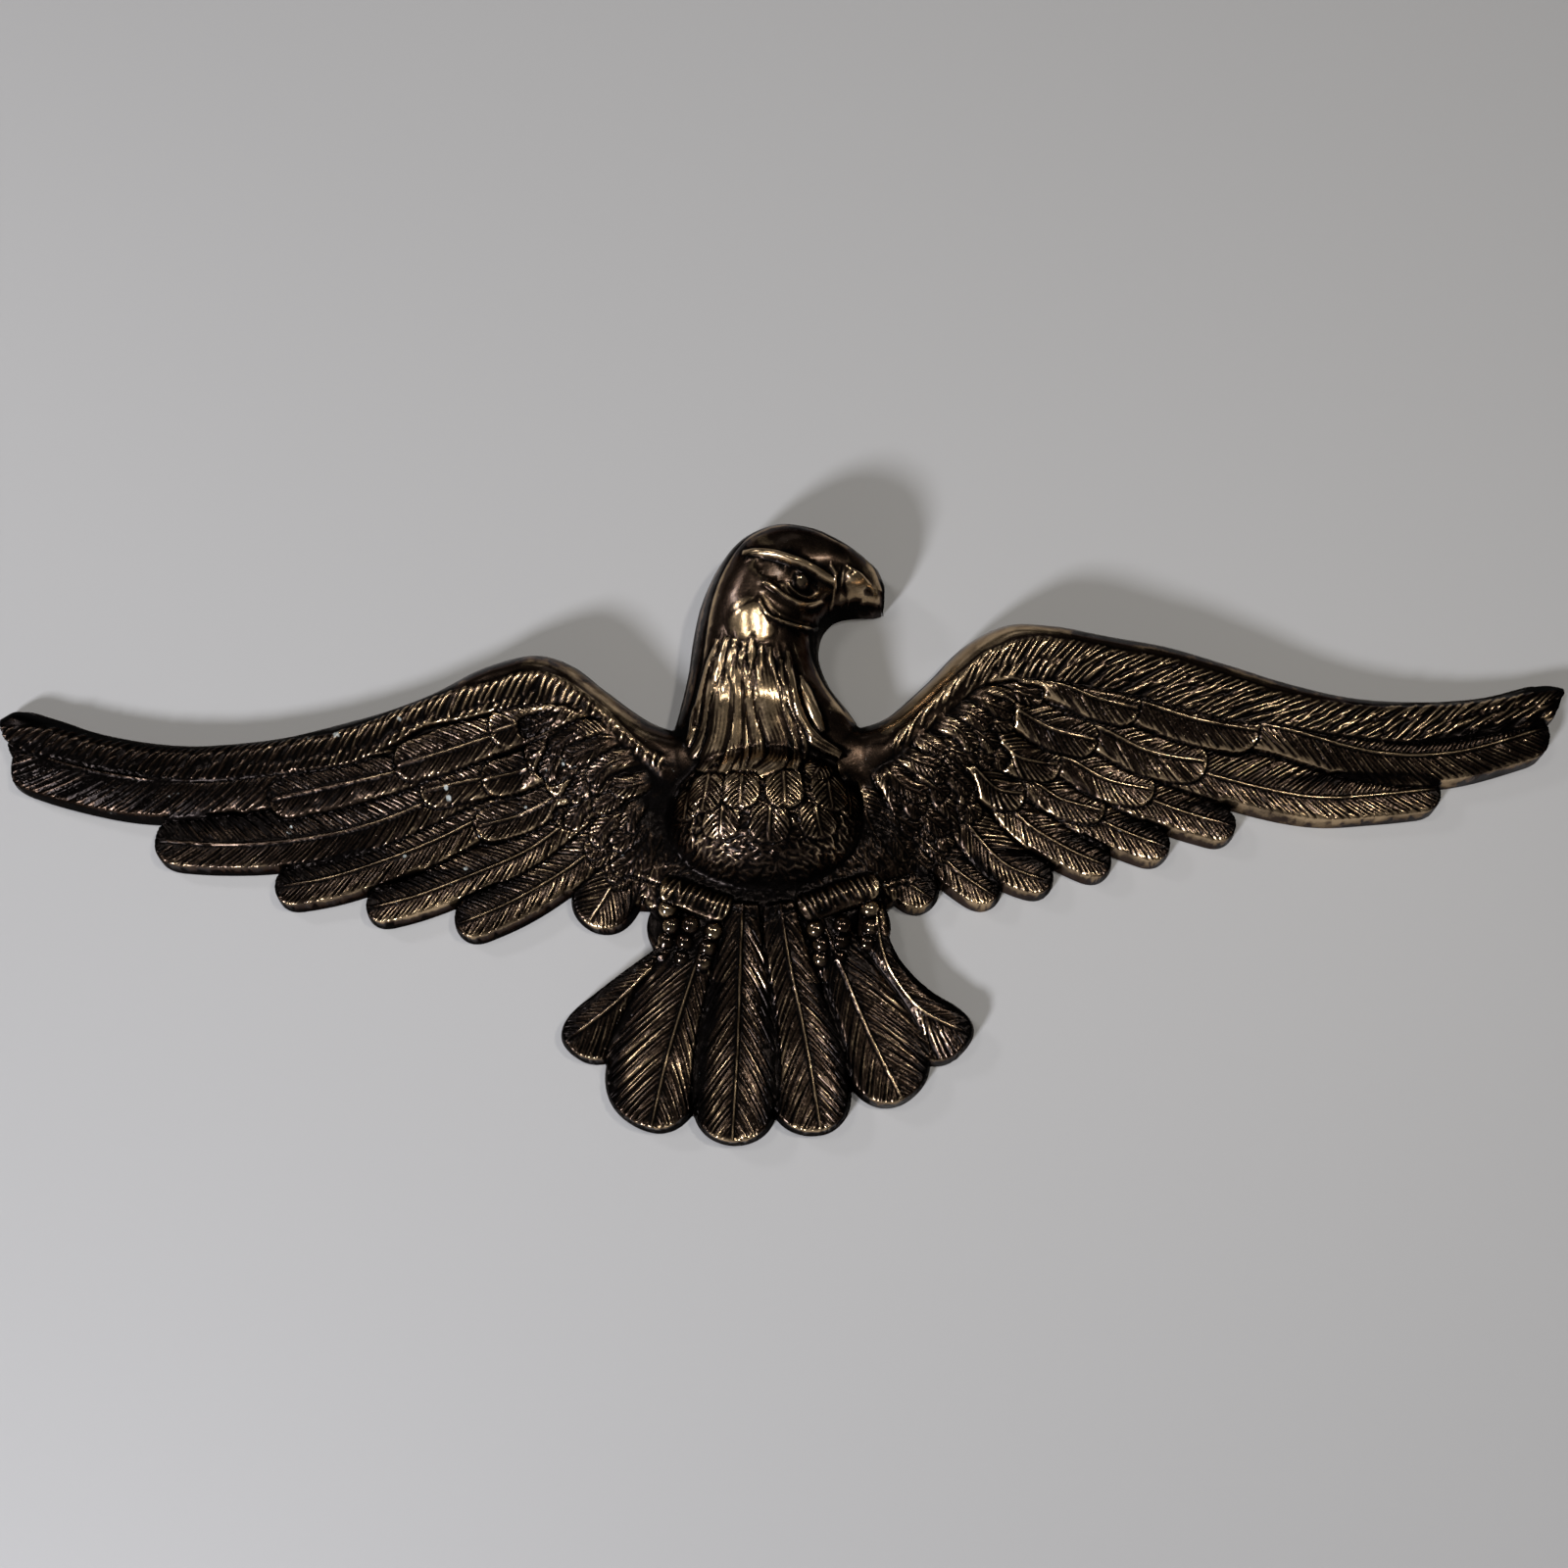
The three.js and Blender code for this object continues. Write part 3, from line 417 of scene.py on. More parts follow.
for side, line in leading_lines.items():
    band = Patch(line, 34)
    gap = edge_gap[band.cut]
    place = edge_place[band.cut]
    start_line = np.array(BAND_START[side], float)[::INWARD[side]]
    foot_line = np.array(BAND_FOOT[side], float)[::INWARD[side]]
    slants = BAND_SLANTS[side][::INWARD[side]]
    above_foot = -locate(band.x, band.z, curve(BAND_FOOT[side]))[1] * INWARD[side]
    far_end, near_end = np.sort([abs(foot_line[0, 0]), abs(foot_line[-1, 0])])[::-1]
    x = foot_line[:, 0].min() + 4
    while x < foot_line[:, 0].max() + 6:
        slant = np.interp(x, np.linspace(foot_line[0, 0], foot_line[-1, 0], len(slants)), slants)
        high = np.interp(x, *start_line.T)
        low = np.interp(x, *foot_line.T)
        share = gouge.uniform(-0.06, 0.06)
        while share < 0.85:
            z = high + (low - high) * share
            angle = math.radians(180 + slant + gouge.uniform(-6, 6))
            length = (z - low) / math.sin(math.radians(slant + 12)) * gouge.uniform(0.5, 1.0) + 3
            length = min(length, LONGEST_STROKE * gouge.uniform(0.7, 1.1))
            rise = gouge.uniform(0.7, 1.2)
            band.stroke(x, z, angle, length, BAND_STROKE[side], rise, gouge.uniform(-0.02, 0.12))
            share += (length * 0.8 * math.sin(math.radians(slant)) + 1) / max(high - low, 8)
        x += BAND_PITCH[side] / math.sin(math.radians(max(slant, 32))) * gouge.uniform(0.8, 1.2)
    roll = np.interp(place, np.linspace(0, 1, len(line)), line[:, 3])
    start_gap = band.z - np.interp(band.x, *start_line.T)
    band.marks *= smooth((1.5 - start_gap) / 2)
    parted = smooth((np.abs(band.x) - BAND_PARTS[0]) / BAND_PARTS[1])
    lift = BAND_LIFT * (0.35 + 0.65 * parted) * smooth(gap / roll)
    lift *= smooth((far_end + 6 - np.abs(band.x)) / 16)
    lift *= 1 - (1 - parted) * (1 - smooth(above_foot / 5))
    border = BAND_BORDER * parted * np.exp(-((above_foot - 1.0) / 0.6) ** 2)
    edge_step = BAND_STEP * smooth((1.0 - start_gap) / 1.5)
    within = np.minimum(above_foot, 4 * gap)
    within = np.where(band.x * INWARD[side] > near_end - 16, within, OUTSIDE)
    if side == "right":
        (ax, az), (bx, bz) = BAND_END
        end_gap = ((band.x - ax) * (bz - az) - (band.z - az) * (bx - ax)) / math.hypot(bx - ax, bz - az)
        within = np.minimum(within, end_gap)
    melt = smooth((np.abs(band.x) - near_end + 12) / 12) * (parted + (1 - parted) * smooth(above_foot / 5))
    outline = np.where((place > 0) & (place < 1), np.minimum(within, gap), OUTSIDE)
    band_top = wing_top[band.cut] + lift + border + edge_step - BAND_STEP
    band.lay(band_top, within, over=True, melt=melt, outline=outline, groove=GROOVE_DEPTH * parted)


# The tail: six broad feathers in a fan, the middle pair on top, with deep slanting barbs to
# either side of a strong shaft.
TAIL = [
    ([(-26, -76), (-48, -98), (-63, -112), (-82, -126)], (10, 17), 0),
    ([(-20, -70), (-30, -99), (-39, -128), (-46, -160)], (24, 17), 0.5),
    ([(42, -68), (47, -94), (60, -112), (82, -123)], (10, 18), 0),
    ([(18, -70), (29, -96), (41, -124), (53.5, -149)], (20, 16), 0.5),
    ([(4, -66), (8, -92), (14, -120), (21, -161)], (15, 19), 1),
    ([(-10, -66), (-11, -92), (-12, -126), (-14, -165)], (17, 17), 1.4),
]
TAIL_ROOT_DEPTH = 13.0
TAIL_TOP = -72.0
TAIL_LENGTH = 60.0
TAIL_ROOT_WIDTH = 0.4
TAIL_CUT = {"roof": 2.2, "shaft": 1.6, "tilt": 0, "groove": 1.0, "lip": 0.4,
            "pitch": 2.25, "barb": 1.2, "wide": 1.85, "angles": (38, 38)}

tail_ground = RIM + (TAIL_ROOT_DEPTH - RIM) * smooth((everywhere.z - TAIL_TOP + TAIL_LENGTH) / TAIL_LENGTH)
tail_top = np.zeros_like(height)
tail_top[everywhere.cut] = tail_ground
for shape in TAIL:
    feather(shape, tail_top, TAIL_ROOT_WIDTH, TAIL_CUT)


# The body: a round breast, the highest place of the plaque, over lower shoulders that join wings,
# neck and tail. Its plumage is scales below the ruff and loose wavy strokes under them.
BREAST = {"x": -1.5, "z": -35.0, "half_width": 42.0, "half_height": 32.0, "depth": 41.0}
BODY = {"x": 0.0, "z": -42.0, "half_width": 62.0, "half_height": 48.0, "depth": 19.0}
TAIL_BASE = {"x": 0.0, "z": -78.0, "half_width": 50.0, "half_height": 27.0, "depth": 12.0}
SCALES = [
    ([(-17.5, -33), (-18.4, -41), (-18.9, -49)], (8, 8), 0.3),
    ([(0.8, -34), (0.6, -42), (0.2, -51)], (8.5, 8.5), 0.3),
    ([(18.4, -32), (19.4, -40), (21.5, -48)], (8, 8), 0.3),
    ([(-31, -24), (-32.5, -31), (-34, -40)], (6, 6), 0.2),
    ([(31, -21), (32.5, -29), (33, -38)], (6, 6), 0.2),
    ([(-23.5, -19), (-24.5, -28), (-26.5, -38)], (7.5, 7.5), 0.6),
    ([(23.6, -18), (24.2, -27), (25.6, -37)], (8, 8), 0.6),
    ([(-10, -20), (-10.6, -28), (-11, -38)], (8, 8), 0.8),
    ([(5.6, -18), (6.2, -27), (6.8, -38)], (8, 8), 0.8),
    ([(23, -9), (21.6, -15), (17.4, -24)], (6, 6), 1.0),
]
SCALE_CUT = {"roof": 0.3, "shaft": 0.9, "tilt": 0, "groove": 0.15, "lip": 0.1,
             "pitch": 2.1, "barb": 1.05, "wide": 1.7, "angles": (48, 48)}
FUR_PITCH = 1.5


def dome(shape, x, z):
    """Height of a domed mass, and how far inside its outline each place lies."""
    across = (x - shape["x"]) / shape["half_width"]
    up = (z - shape["z"]) / shape["half_height"]
    share = across ** 2 + up ** 2
    reach = (1 - np.sqrt(share)) * shape["half_height"]
    return shape["depth"] * np.sqrt(np.clip(1 - share, 0, 1)), reach * 4


def fur(patch, centre, spread, steepness, length, rise):
    """Loose wavy strokes all over a patch, level in the middle and leaning at the sides."""
    for z in np.arange(centre[1] - spread[1], centre[1] + spread[1], FUR_PITCH):
        for x in np.arange(centre[0] - spread[0], centre[0] + spread[0], length * 0.62):
            x_now = x + gouge.uniform(-0.4, 0.4) * length
            z_now = z + gouge.uniform(-0.5, 0.5) * FUR_PITCH
            angle = math.radians(-steepness * (x_now - centre[0]) / spread[0] + gouge.normal(0, 20))
            size = length * gouge.uniform(0.6, 1.4)
            patch.stroke(x_now, z_now, angle, size, 1.4, rise * gouge.uniform(0.4, 1.1), gouge.normal(0, 0.3))


for mass, blend in ((TAIL_BASE, 2.0), (BODY, 8.0)):
    patch = Patch([(-64, -106), (64, 8)], 2)
    top, reach = dome(mass, patch.x, patch.z)
    fur(patch, (mass["x"], mass["z"]), spread=(60, 48), steepness=85, length=4.6, rise=0.65)
    patch.lay(top, reach, blend=blend)

breast = Patch([(-46, -70), (46, 0)], 2)
breast_top, breast_reach = dome(BREAST, breast.x, breast.z)
fur(breast, (BREAST["x"], BREAST["z"] - 4), spread=(42, 30), steepness=58, length=4.4, rise=1.0)
breast.lay(breast_top, breast_reach, blend=7.0)

breast_ground = np.zeros_like(height)
breast_ground[breast.cut] = -soft_min(-breast_top, -dome(BODY, breast.x, breast.z)[0], 7.0)
for shape in SCALES:
    feather(shape, breast_ground, 0.85, SCALE_CUT, fade=5.0, cast=False)


# Neck and head, turned to the viewer's right: smooth steep flanks along the outline that end in a
# crease, and inside it a heavy brow over a sunken ringed eye, the edge of the face and the beak.
# Each row is a point on the back of the neck and crown, one on the throat and beak, and the height
NECK = [
    (-44, -34, 44, -34, 17), (-46, -14, 48, -14, 26), (-39, 9, 37, 7, 32), (-35, 27, 26, 22, 34),
    (-33, 43, 21.5, 35, 35), (-30, 58, 21.5, 44, 37), (-24, 73, 23, 49, 38), (-14, 86.5, 25, 52, 39),
    (1, 93.5, 27, 54, 38), (18, 91.5, 30, 55.5, 36), (31, 85.5, 34.5, 56.5, 33), (40, 80, 40, 57, 27),
    (46, 75.5, 45.5, 57, 21), (49.5, 69, 49, 58, 14),
]
NECK_FULLNESS = 2.3
FLANK = 6.4
BEAK_FLANK = 3.2
THROAT_FLANK = 3.5
CREASE = 0.5
HEM = [(-48, -8), (-37, -7.8), (-32, -12.7), (-28, -17), (-23, -19), (-17, -20), (-10, -19.5), (-4, -20.5),
       (2, -17), (7, -18), (13, -13.9), (22, -11.4), (29, -10.6), (48, -6)]
HEM_RISE = 0.9

head = Patch([(-50, -38), (54, 96)], 2)
crown_line = curve([row[:2] for row in NECK])
throat_line = curve([row[2:4] for row in NECK])
row_places = np.linspace(0, 1, len(NECK))
section_heights = np.interp(np.linspace(0, 1, len(crown_line)), row_places, [row[4] for row in NECK])
neck_top = np.zeros_like(head.x)
neck_reach = np.full_like(head.x, OUTSIDE)
before = None
for (ax, az), (bx, bz), peak in zip(crown_line, throat_line, section_heights):
    turn = (bx - ax) * (head.z - az) - (bz - az) * (head.x - ax)
    span = math.hypot(bx - ax, bz - az)
    share = ((head.x - ax) * (bx - ax) + (head.z - az) * (bz - az)) / span ** 2
    full = np.abs(np.clip(2 * share - 1, -1, 1)) ** NECK_FULLNESS
    now = turn, share, span, peak * (1 - full) ** (1 / NECK_FULLNESS)
    if before is not None:
        passed = np.sign(turn) != np.sign(before[0])
        mix = np.clip(before[0] / (before[0] - turn + 1e-9), 0, 1)
        section = before[3] + (now[3] - before[3]) * mix
        closeness = np.minimum(share, 1 - share) * span
        better = passed & (section >= neck_top) & (share > -0.2) & (share < 1.2)
        neck_top[better] = section[better]
        neck_reach[better] = closeness[better]
    before = now
head.lay(neck_top * smooth((head.z + 37) / 20), 4 * neck_reach, blend=6.0)
hem = np.interp(head.x, *np.array(HEM, float).T)
above_hem = head.z - hem
breast_under = dome(BREAST, head.x, head.z)[0]
ruff = -soft_min(-neck_top, -breast_under, 5.0) + HEM_RISE
fade = smooth((above_hem - 30) / 14)
neck_form = ruff + (neck_top - ruff) * fade
crown_gap = locate(head.x, head.z, crown_line)[1]
throat_gap = -locate(head.x, head.z, throat_line)[1]
neck_gap = np.minimum(np.abs(crown_gap), np.abs(throat_gap))
crown_flank = FLANK + (BEAK_FLANK - FLANK) * smooth((head.x - 26) / 16)
past_flank = np.minimum(np.abs(crown_gap) - crown_flank, np.abs(throat_gap) - THROAT_FLANK)
front = smooth(past_flank / 1.6) * smooth((head.z - 2) / 10)
crease = CREASE * np.exp(-(past_flank / 0.8) ** 2) * smooth((head.z - 6) / 8)


def bump(points, width, rise, taper=0.6, sharp=1.0):
    """A raised line, or a sunk one where rise is negative, over the neck and head."""
    line = curve(points)
    run, across, total = locate(head.x, head.z, line)
    along = np.clip(run / total, 0, 1)
    beyond = np.maximum(-run, run - total).clip(0, None)
    off = np.hypot(across, beyond * 1.5) / (width / 2)
    swell = np.clip(np.sin(math.pi * np.clip(along, 0.02, 0.98)), 0.02, 1) ** taper
    return rise * swell * np.clip(1 - off ** 2 / swell, 0, 1) ** sharp


def spot(x, z, radius, rise, sharp=0.5):
    """A rounded knob or hollow on the head."""
    off = np.hypot(head.x - x, head.z - z) / radius
    return rise * np.clip(1 - off ** 2, 0, 1) ** sharp


# Face: brow, lids, eye, edge of the face, cere and beak
EYE = (13.4, 59.4)
EYE_RADIUS = 3.7
BROW_LINE = [(-10.5, 72.6), (-4, 71.2), (3, 69.4), (10, 67.2), (17, 64.8), (23, 62.8), (27, 61.4)]
SOCKET = [(-5, 66), (0, 64), (5, 62), (10, 60)]
LID_RING = [(6.8, 65), (6.9, 61.6), (8, 58.2), (10.4, 55.6), (14.2, 54.2), (17.6, 55), (20.4, 57)]
LOWER_LID = [(-1.4, 57.6), (3.4, 54.4), (7, 52.4), (12.2, 50.9), (16.6, 51.6), (19.8, 53.3), (22.7, 55)]
LID_CORNER = [(-2.6, 58.2), (0.8, 56.4), (5, 53.4)]
UNDER_LID = [(-1, 53), (3.4, 49.2), (8.6, 46.9), (14, 46.8), (19, 49.4), (22.6, 53.4)]
FACE_EDGE = [(25.6, 66.7), (27.6, 63.7), (27.2, 58.9), (25.5, 52.8), (21.4, 46.8), (15.8, 42.8), (11, 41.8),
             (5, 42.3), (0.2, 44), (-2.2, 46.6), (-3.8, 50.7)]
CULMEN = [(32, 67), (36, 65.6), (40, 64), (44.8, 60.3), (47.8, 56)]
CERE = [(30.4, 67), (29.2, 63.2), (29.4, 58.4), (30.6, 54.4)]
NOSTRIL = [(31, 61.4), (31.6, 58.8), (33, 56.8)]
MOUTH = [(26, 51), (31.3, 49.6), (38.5, 49), (47.4, 49.2)]
GAPE = [(27, 54), (32, 52.4), (39, 51.8), (46.5, 52)]
BEAK_SIDE = [(33.8, 64.4), (36.2, 61.6), (38.8, 58.6)]

face = bump(BROW_LINE, 4.4, 2.5, 0.25, 0.8) + bump(SOCKET, 11, -2.4, 0.5, 2)
face += spot(*EYE, 7.2, -2.6, 0.9) + spot(*EYE, EYE_RADIUS, 3.4, 0.65)
face += bump(LID_RING, 1.6, 1.3, 0.3) + bump(LOWER_LID, 2.2, 1.7, 0.3) + bump(LID_CORNER, 3.6, 1.2, 0.5)
face += bump(UNDER_LID, 6.5, -1.3, 0.5, 1.6) + bump(FACE_EDGE, 1.8, 1.3, 0.2) + bump(CULMEN, 2.4, 1.0, 0.4)
face += bump(CERE, 2.2, -0.9, 0.4) + bump(BEAK_SIDE, 11, 2.8, 0.4) + bump(NOSTRIL, 2.2, -1.1, 0.3)
face += bump(MOUTH, 2.6, 1.0, 0.2) + bump(GAPE, 1.5, -0.8, 0.3)
cheek = bump([(-11, 48), (-7, 40), (-3, 32)], 20, 1.8, 0.3)


# The ruff: long locks that start at the cheek, flow down the neck side by side and curl at their
# ends over the breast, each with finer hairs cut along it.
LOCKS = [
    ([(-29, 12), (-30.4, -2), (-34, -9)], 3.6),
    ([(-21, 36), (-24, 24), (-27, 12), (-30, 0)], 3.2),
    ([(-6.6, 35), (-7.4, 24), (-9, 10), (-8, -2)], 4.0),
    ([(-3.0, 32), (-3.6, 20), (-3.8, 8), (-2, -6)], 4.0),
    ([(13, 20), (17, 8), (21.9, -2.5)], 3.0),
    ([(-9.8, 33), (-11.4, 22), (-12.6, 8), (-12.8, -6)], 4.2),
    ([(-13.8, 35), (-15.6, 24), (-16.6, 8), (-18.4, -6), (-22, -16)], 4.6),
    ([(-11.4, 24), (-10.3, -0.5), (-10.6, -10.7), (-12.6, -21.6)], 4.4),
    ([(-9.6, 26), (-7.5, 5.7), (-7.1, -4.6), (-8, -14.8), (-9.6, -22.2)], 4.2),
    ([(7.8, 30), (8.6, 14), (12.1, 2), (18.2, -6), (29.4, -11.5)], 3.8),
    ([(5, 26), (6.2, 8.5), (8.6, 0.5), (13.6, -8), (13, -14.6)], 4.2),
    ([(-13.5, 28), (-14.1, -4), (-15.2, -14), (-18.2, -22)], 5.0),
    ([(-6.4, 22), (-4.8, -2.5), (-4.3, -12.7), (-7.4, -22)], 4.4),
    ([(-17.0, 36), (-20.4, 26), (-22.6, 14), (-25.1, -0.5), (-28.2, -7.4), (-34, -13.4)], 4.6),
    ([(0.5, 31), (0.3, 20.2), (4, 6), (8.5, -5), (10.5, -12.7), (9.2, -21)], 5.0),
    ([(-17.7, 22), (-19, 5.7), (-20.6, -4.6), (-22.9, -10.7), (-28.2, -18.6)], 6.0),
    ([(-3.3, 30), (0.3, 4), (4.3, -9), (3, -16.8), (-4.4, -23.4)], 6.6),
]
LOCK_RISE = 2.9
LOCK_WIDENING = 1.75
HAIR_PITCH = 1.6
HAIR_RISE = 0.13
UNDER_HAIR_PITCH = 1.3
UNDER_HAIR_LENGTH = 12

locks = np.zeros_like(head.x)
for points, width in LOCKS:
    line = curve(points)
    run, across, total = locate(head.x, head.z, line)
    along = run / total
    swell = smooth(along / 0.4) * (1 - 0.75 * smooth((along - 0.7) / 0.3))
    swell = np.where((along < 0) | (along > 1), 0, np.maximum(swell, 0.05))
    off = np.abs(across) / (LOCK_WIDENING * width / 2 * np.maximum(swell, 0.05) ** 0.4)
    body = LOCK_RISE * swell ** 0.5 * np.sqrt(np.clip(1 - off ** 2, 0, 1))
    hair = HAIR_RISE * np.cos(2 * math.pi * across / HAIR_PITCH + 7 * along) * (off < 0.8)
    laid = body + hair * (body > 0.6)
    locks = np.where(laid > 0.15, np.maximum(laid, locks * 0.75), locks)
hairline = smooth((34 - head.z + 0.4 * head.x) / 6)
for x in np.arange(-38, 30, UNDER_HAIR_PITCH):
    for z in np.arange(-8, 40, 0.75 * UNDER_HAIR_LENGTH):
        if abs(x + 6) < 26 - 0.25 * z:
            turn = math.radians(-90 + 0.9 * (x + 6) + gouge.uniform(-5, 5))
            x_now = x + gouge.uniform(-1, 1)
            z_now = z + gouge.uniform(-3, 3)
            rise = gouge.uniform(0.2, 0.4)
            head.stroke(x_now, z_now, turn, UNDER_HAIR_LENGTH, UNDER_HAIR_PITCH, rise, 0.04)
head.marks = np.maximum(head.marks * hairline, locks)
carved = neck_form + face + cheek * (1 - 0.7 * hairline) + 0.7 * front - crease
above = np.where(above_hem > -4, above_hem + 1.2, OUTSIDE)
lock_reach = np.where(locks > 0.3, 3.0, OUTSIDE)
head_reach = np.minimum(4 * neck_reach, np.maximum(above, lock_reach))
head.marks *= smooth((neck_gap - 3) / 4)
head.lay(np.where(neck_reach > 0, carved, 0), head_reach)


# Legs: a cuff of short plumage on each, and three toes that grip nothing, every toe a row of
# three or four round joints that catch the light.
CUFFS = [
    {"line": [(-43, -63), (-34, -66), (-25, -69.5), (-15, -73)], "slant": 72},
    {"line": [(44, -62), (34, -65), (23, -69), (12, -73)], "slant": 122},
]
CUFF_WIDTH = 14.0
CUFF_RISE = 4.5
CUFF_END = 17.0
TOE_DEPTH = 12.5
TOE_HALF_WIDTH = 2.8
TOES = [
    [(-40.5, -73), (-38.8, -79.6), (-40.7, -85.5), (-41.7, -90.4)],
    [(-31.1, -79.6), (-33.3, -85.9), (-34.4, -92)],
    [(-22.1, -82), (-24.4, -88.2), (-26.2, -94)],
    [(19, -81.2), (21.3, -86.9), (21.2, -92.6)],
    [(29.5, -79.6), (28.9, -85.7), (28.4, -91.6)],
    [(40.5, -73), (41.1, -80), (39.6, -86)],
]
JOINT_RADIUS = 4.1
JOINT_DEPTH = 18.5
JOINT_FALL = 1.4

for toe in TOES:
    patch = Patch(toe, 7)
    run, across, total = locate(patch.x, patch.z, curve(toe))
    reach = TOE_HALF_WIDTH - np.hypot(across, np.maximum(-run, run - total).clip(0, None))
    patch.lay(np.full_like(patch.x, TOE_DEPTH), reach, outline=OUTSIDE)
    for joint, (x, z) in enumerate(toe):
        off = np.hypot(patch.x - x, patch.z - z)
        ball = np.sqrt(np.clip(JOINT_RADIUS ** 2 - off ** 2, 0, None))
        patch.lay(JOINT_DEPTH - JOINT_FALL * joint - JOINT_RADIUS + ball, JOINT_RADIUS - off, outline=OUTSIDE)

for cuff in CUFFS:
    line = curve(cuff["line"])
    patch = Patch(line, CUFF_WIDTH)
    run, across, total = locate(patch.x, patch.z, line)
    arc = lengths_along(line)
    spot_on = 0.5
    while spot_on < total:
        x, z, heading = turn_of(line, arc, spot_on)
        angle = math.radians(cuff["slant"] + gouge.uniform(-14, 14))
        size = CUFF_WIDTH * gouge.uniform(0.6, 1.0)
        x -= size / 2 * math.cos(angle)
        z -= size / 2 * math.sin(angle)
        patch.stroke(x, z, angle, size, 1.8, gouge.uniform(0.6, 1.1), gouge.uniform(-0.08, 0.08))
        spot_on += 2.2 * gouge.uniform(0.85, 1.2)
    low_side = np.where(line[-1, 0] > line[0, 0], across, -across)
    rounded = CUFF_WIDTH / 2 * np.sqrt(np.clip(1 - (2 * run / total - 1) ** 10, 0, 1))
    reach = rounded - np.abs(across)
    ground = np.maximum(dome(BODY, patch.x, patch.z)[0], CUFF_END - CUFF_RISE)
    top = ground + CUFF_RISE * smooth((low_side + 7) / 9) + 0.8 * (1 - (across / CUFF_WIDTH * 2) ** 2)
    patch.lay(top, reach, over=True, melt=smooth((low_side + 7) / 4), outline=OUTSIDE)


# The casting: one thick-walled piece of brass, its front the surface cut above, its back flat
# where it meets the wall, with shallow hollows, and a pad drilled with a keyhole for a screw.
MOST_TRIANGLES = 194000
# Unevenness that the sand mould and the hand tools leave: radius of the marks and their height
SAND_MARKS = ((0.8, 0.015), (2.4, 0.05))
MM = 0.001


def read(items, name, width=1, kind=np.float32):
    """One property of all the vertices, edges, loops or faces of a mesh."""
    values = np.zeros(len(items) * width, kind)
    items.foreach_get(name, values)
    return values.reshape(-1, width) if width > 1 else values


def add_object(name, data):
    thing = bpy.data.objects.new(name, data)
    bpy.context.scene.collection.objects.link(thing)
    return thing


def blurred(field, radius):
    """A field averaged over a radius in millimetres, counting only what lies inside the outline."""
    frequency_z = np.fft.fftfreq(field.shape[0], STEP)[:, None]
    frequency_x = np.fft.rfftfreq(field.shape[1], STEP)[None, :]
    keep = np.exp(-2 * (math.pi * radius) ** 2 * (frequency_x ** 2 + frequency_z ** 2))
    mask = (inside > 0).astype(float)
    total = np.fft.irfft2(np.fft.rfft2(field * mask) * keep, field.shape)
    share = np.fft.irfft2(np.fft.rfft2(mask) * keep, field.shape)
    return total / np.maximum(share, 0.02)


for radius, rise in SAND_MARKS:
    uneven = blurred(gouge.normal(0, 1, height.shape), radius)
    height += rise * uneven / uneven.std() * (height > 1)
height *= soft_min(np.clip(inside / RIM_DRAFT, 0, 9), 1, SOFT_SHOULDER)

slope_z, slope_x = np.gradient(inside, STEP)
steep = slope_x ** 2 + slope_z ** 2
corner_in = inside > 0
cells = corner_in[:-1, :-1] | corner_in[1:, :-1] | corner_in[:-1, 1:] | corner_in[1:, 1:]
used = np.zeros_like(corner_in)
for rows in (np.s_[:-1], np.s_[1:]):
    for columns in (np.s_[:-1], np.s_[1:]):
        used[rows, columns] |= cells
rim = used & ~corner_in
grid_x, grid_z = np.meshgrid(board_x, board_z)
pull = np.clip(-inside / np.maximum(steep, 0.05), -STEP * 1.3, STEP * 1.3)
flat_x = np.where(rim, grid_x + pull * slope_x, grid_x)
flat_z = np.where(rim, grid_z + pull * slope_z, grid_z)
front = np.where(rim, 0, np.maximum(height, 0.02))
number = np.full(used.shape, -1)
number[used] = np.arange(used.sum())
points = np.stack([flat_x[used], -front[used], flat_z[used]], 1) * MM
at_row, at_column = np.nonzero(cells)
corners = [number[at_row, at_column], number[at_row, at_column + 1],
           number[at_row + 1, at_column + 1], number[at_row + 1, at_column]]
quads = np.stack(corners, 1)

plaque_mesh = bpy.data.meshes.new("eagle_casting")
plaque_mesh.vertices.add(len(points))
plaque_mesh.vertices.foreach_set("co", points.astype(np.float32).ravel())
plaque_mesh.loops.add(quads.size)
plaque_mesh.loops.foreach_set("vertex_index", quads.ravel())
plaque_mesh.polygons.add(len(quads))
plaque_mesh.polygons.foreach_set("loop_start", np.arange(0, quads.size, 4))
plaque_mesh.update(calc_edges=True)
plaque_mesh.validate()
plaque = add_object("eagle_casting", plaque_mesh)
bpy.context.view_layer.objects.active = plaque
plaque.select_set(True)

thin = plaque.modifiers.new("thin", "DECIMATE")
thin.ratio = min(1.0, MOST_TRIANGLES / (2 * len(quads)))
thin.use_collapse_triangulate = True
bpy.ops.object.modifier_apply(modifier=thin.name)

# Hollows of the back, as outlines that the flat border runs round
BACK_FACING = 0.5
RECESS = 3.5
RECESS_DRAFT = 0.8
BORDER = 9.0
BREAST_RECESS = {"x": -1.5, "z": -45.0, "half_width": 30.0, "half_height": 21.0}
KEYHOLE = {"head": 4.8, "slot": 2.4, "rise": 9.0, "depth": 8.0, "lip": 2.5, "z": 11.0}


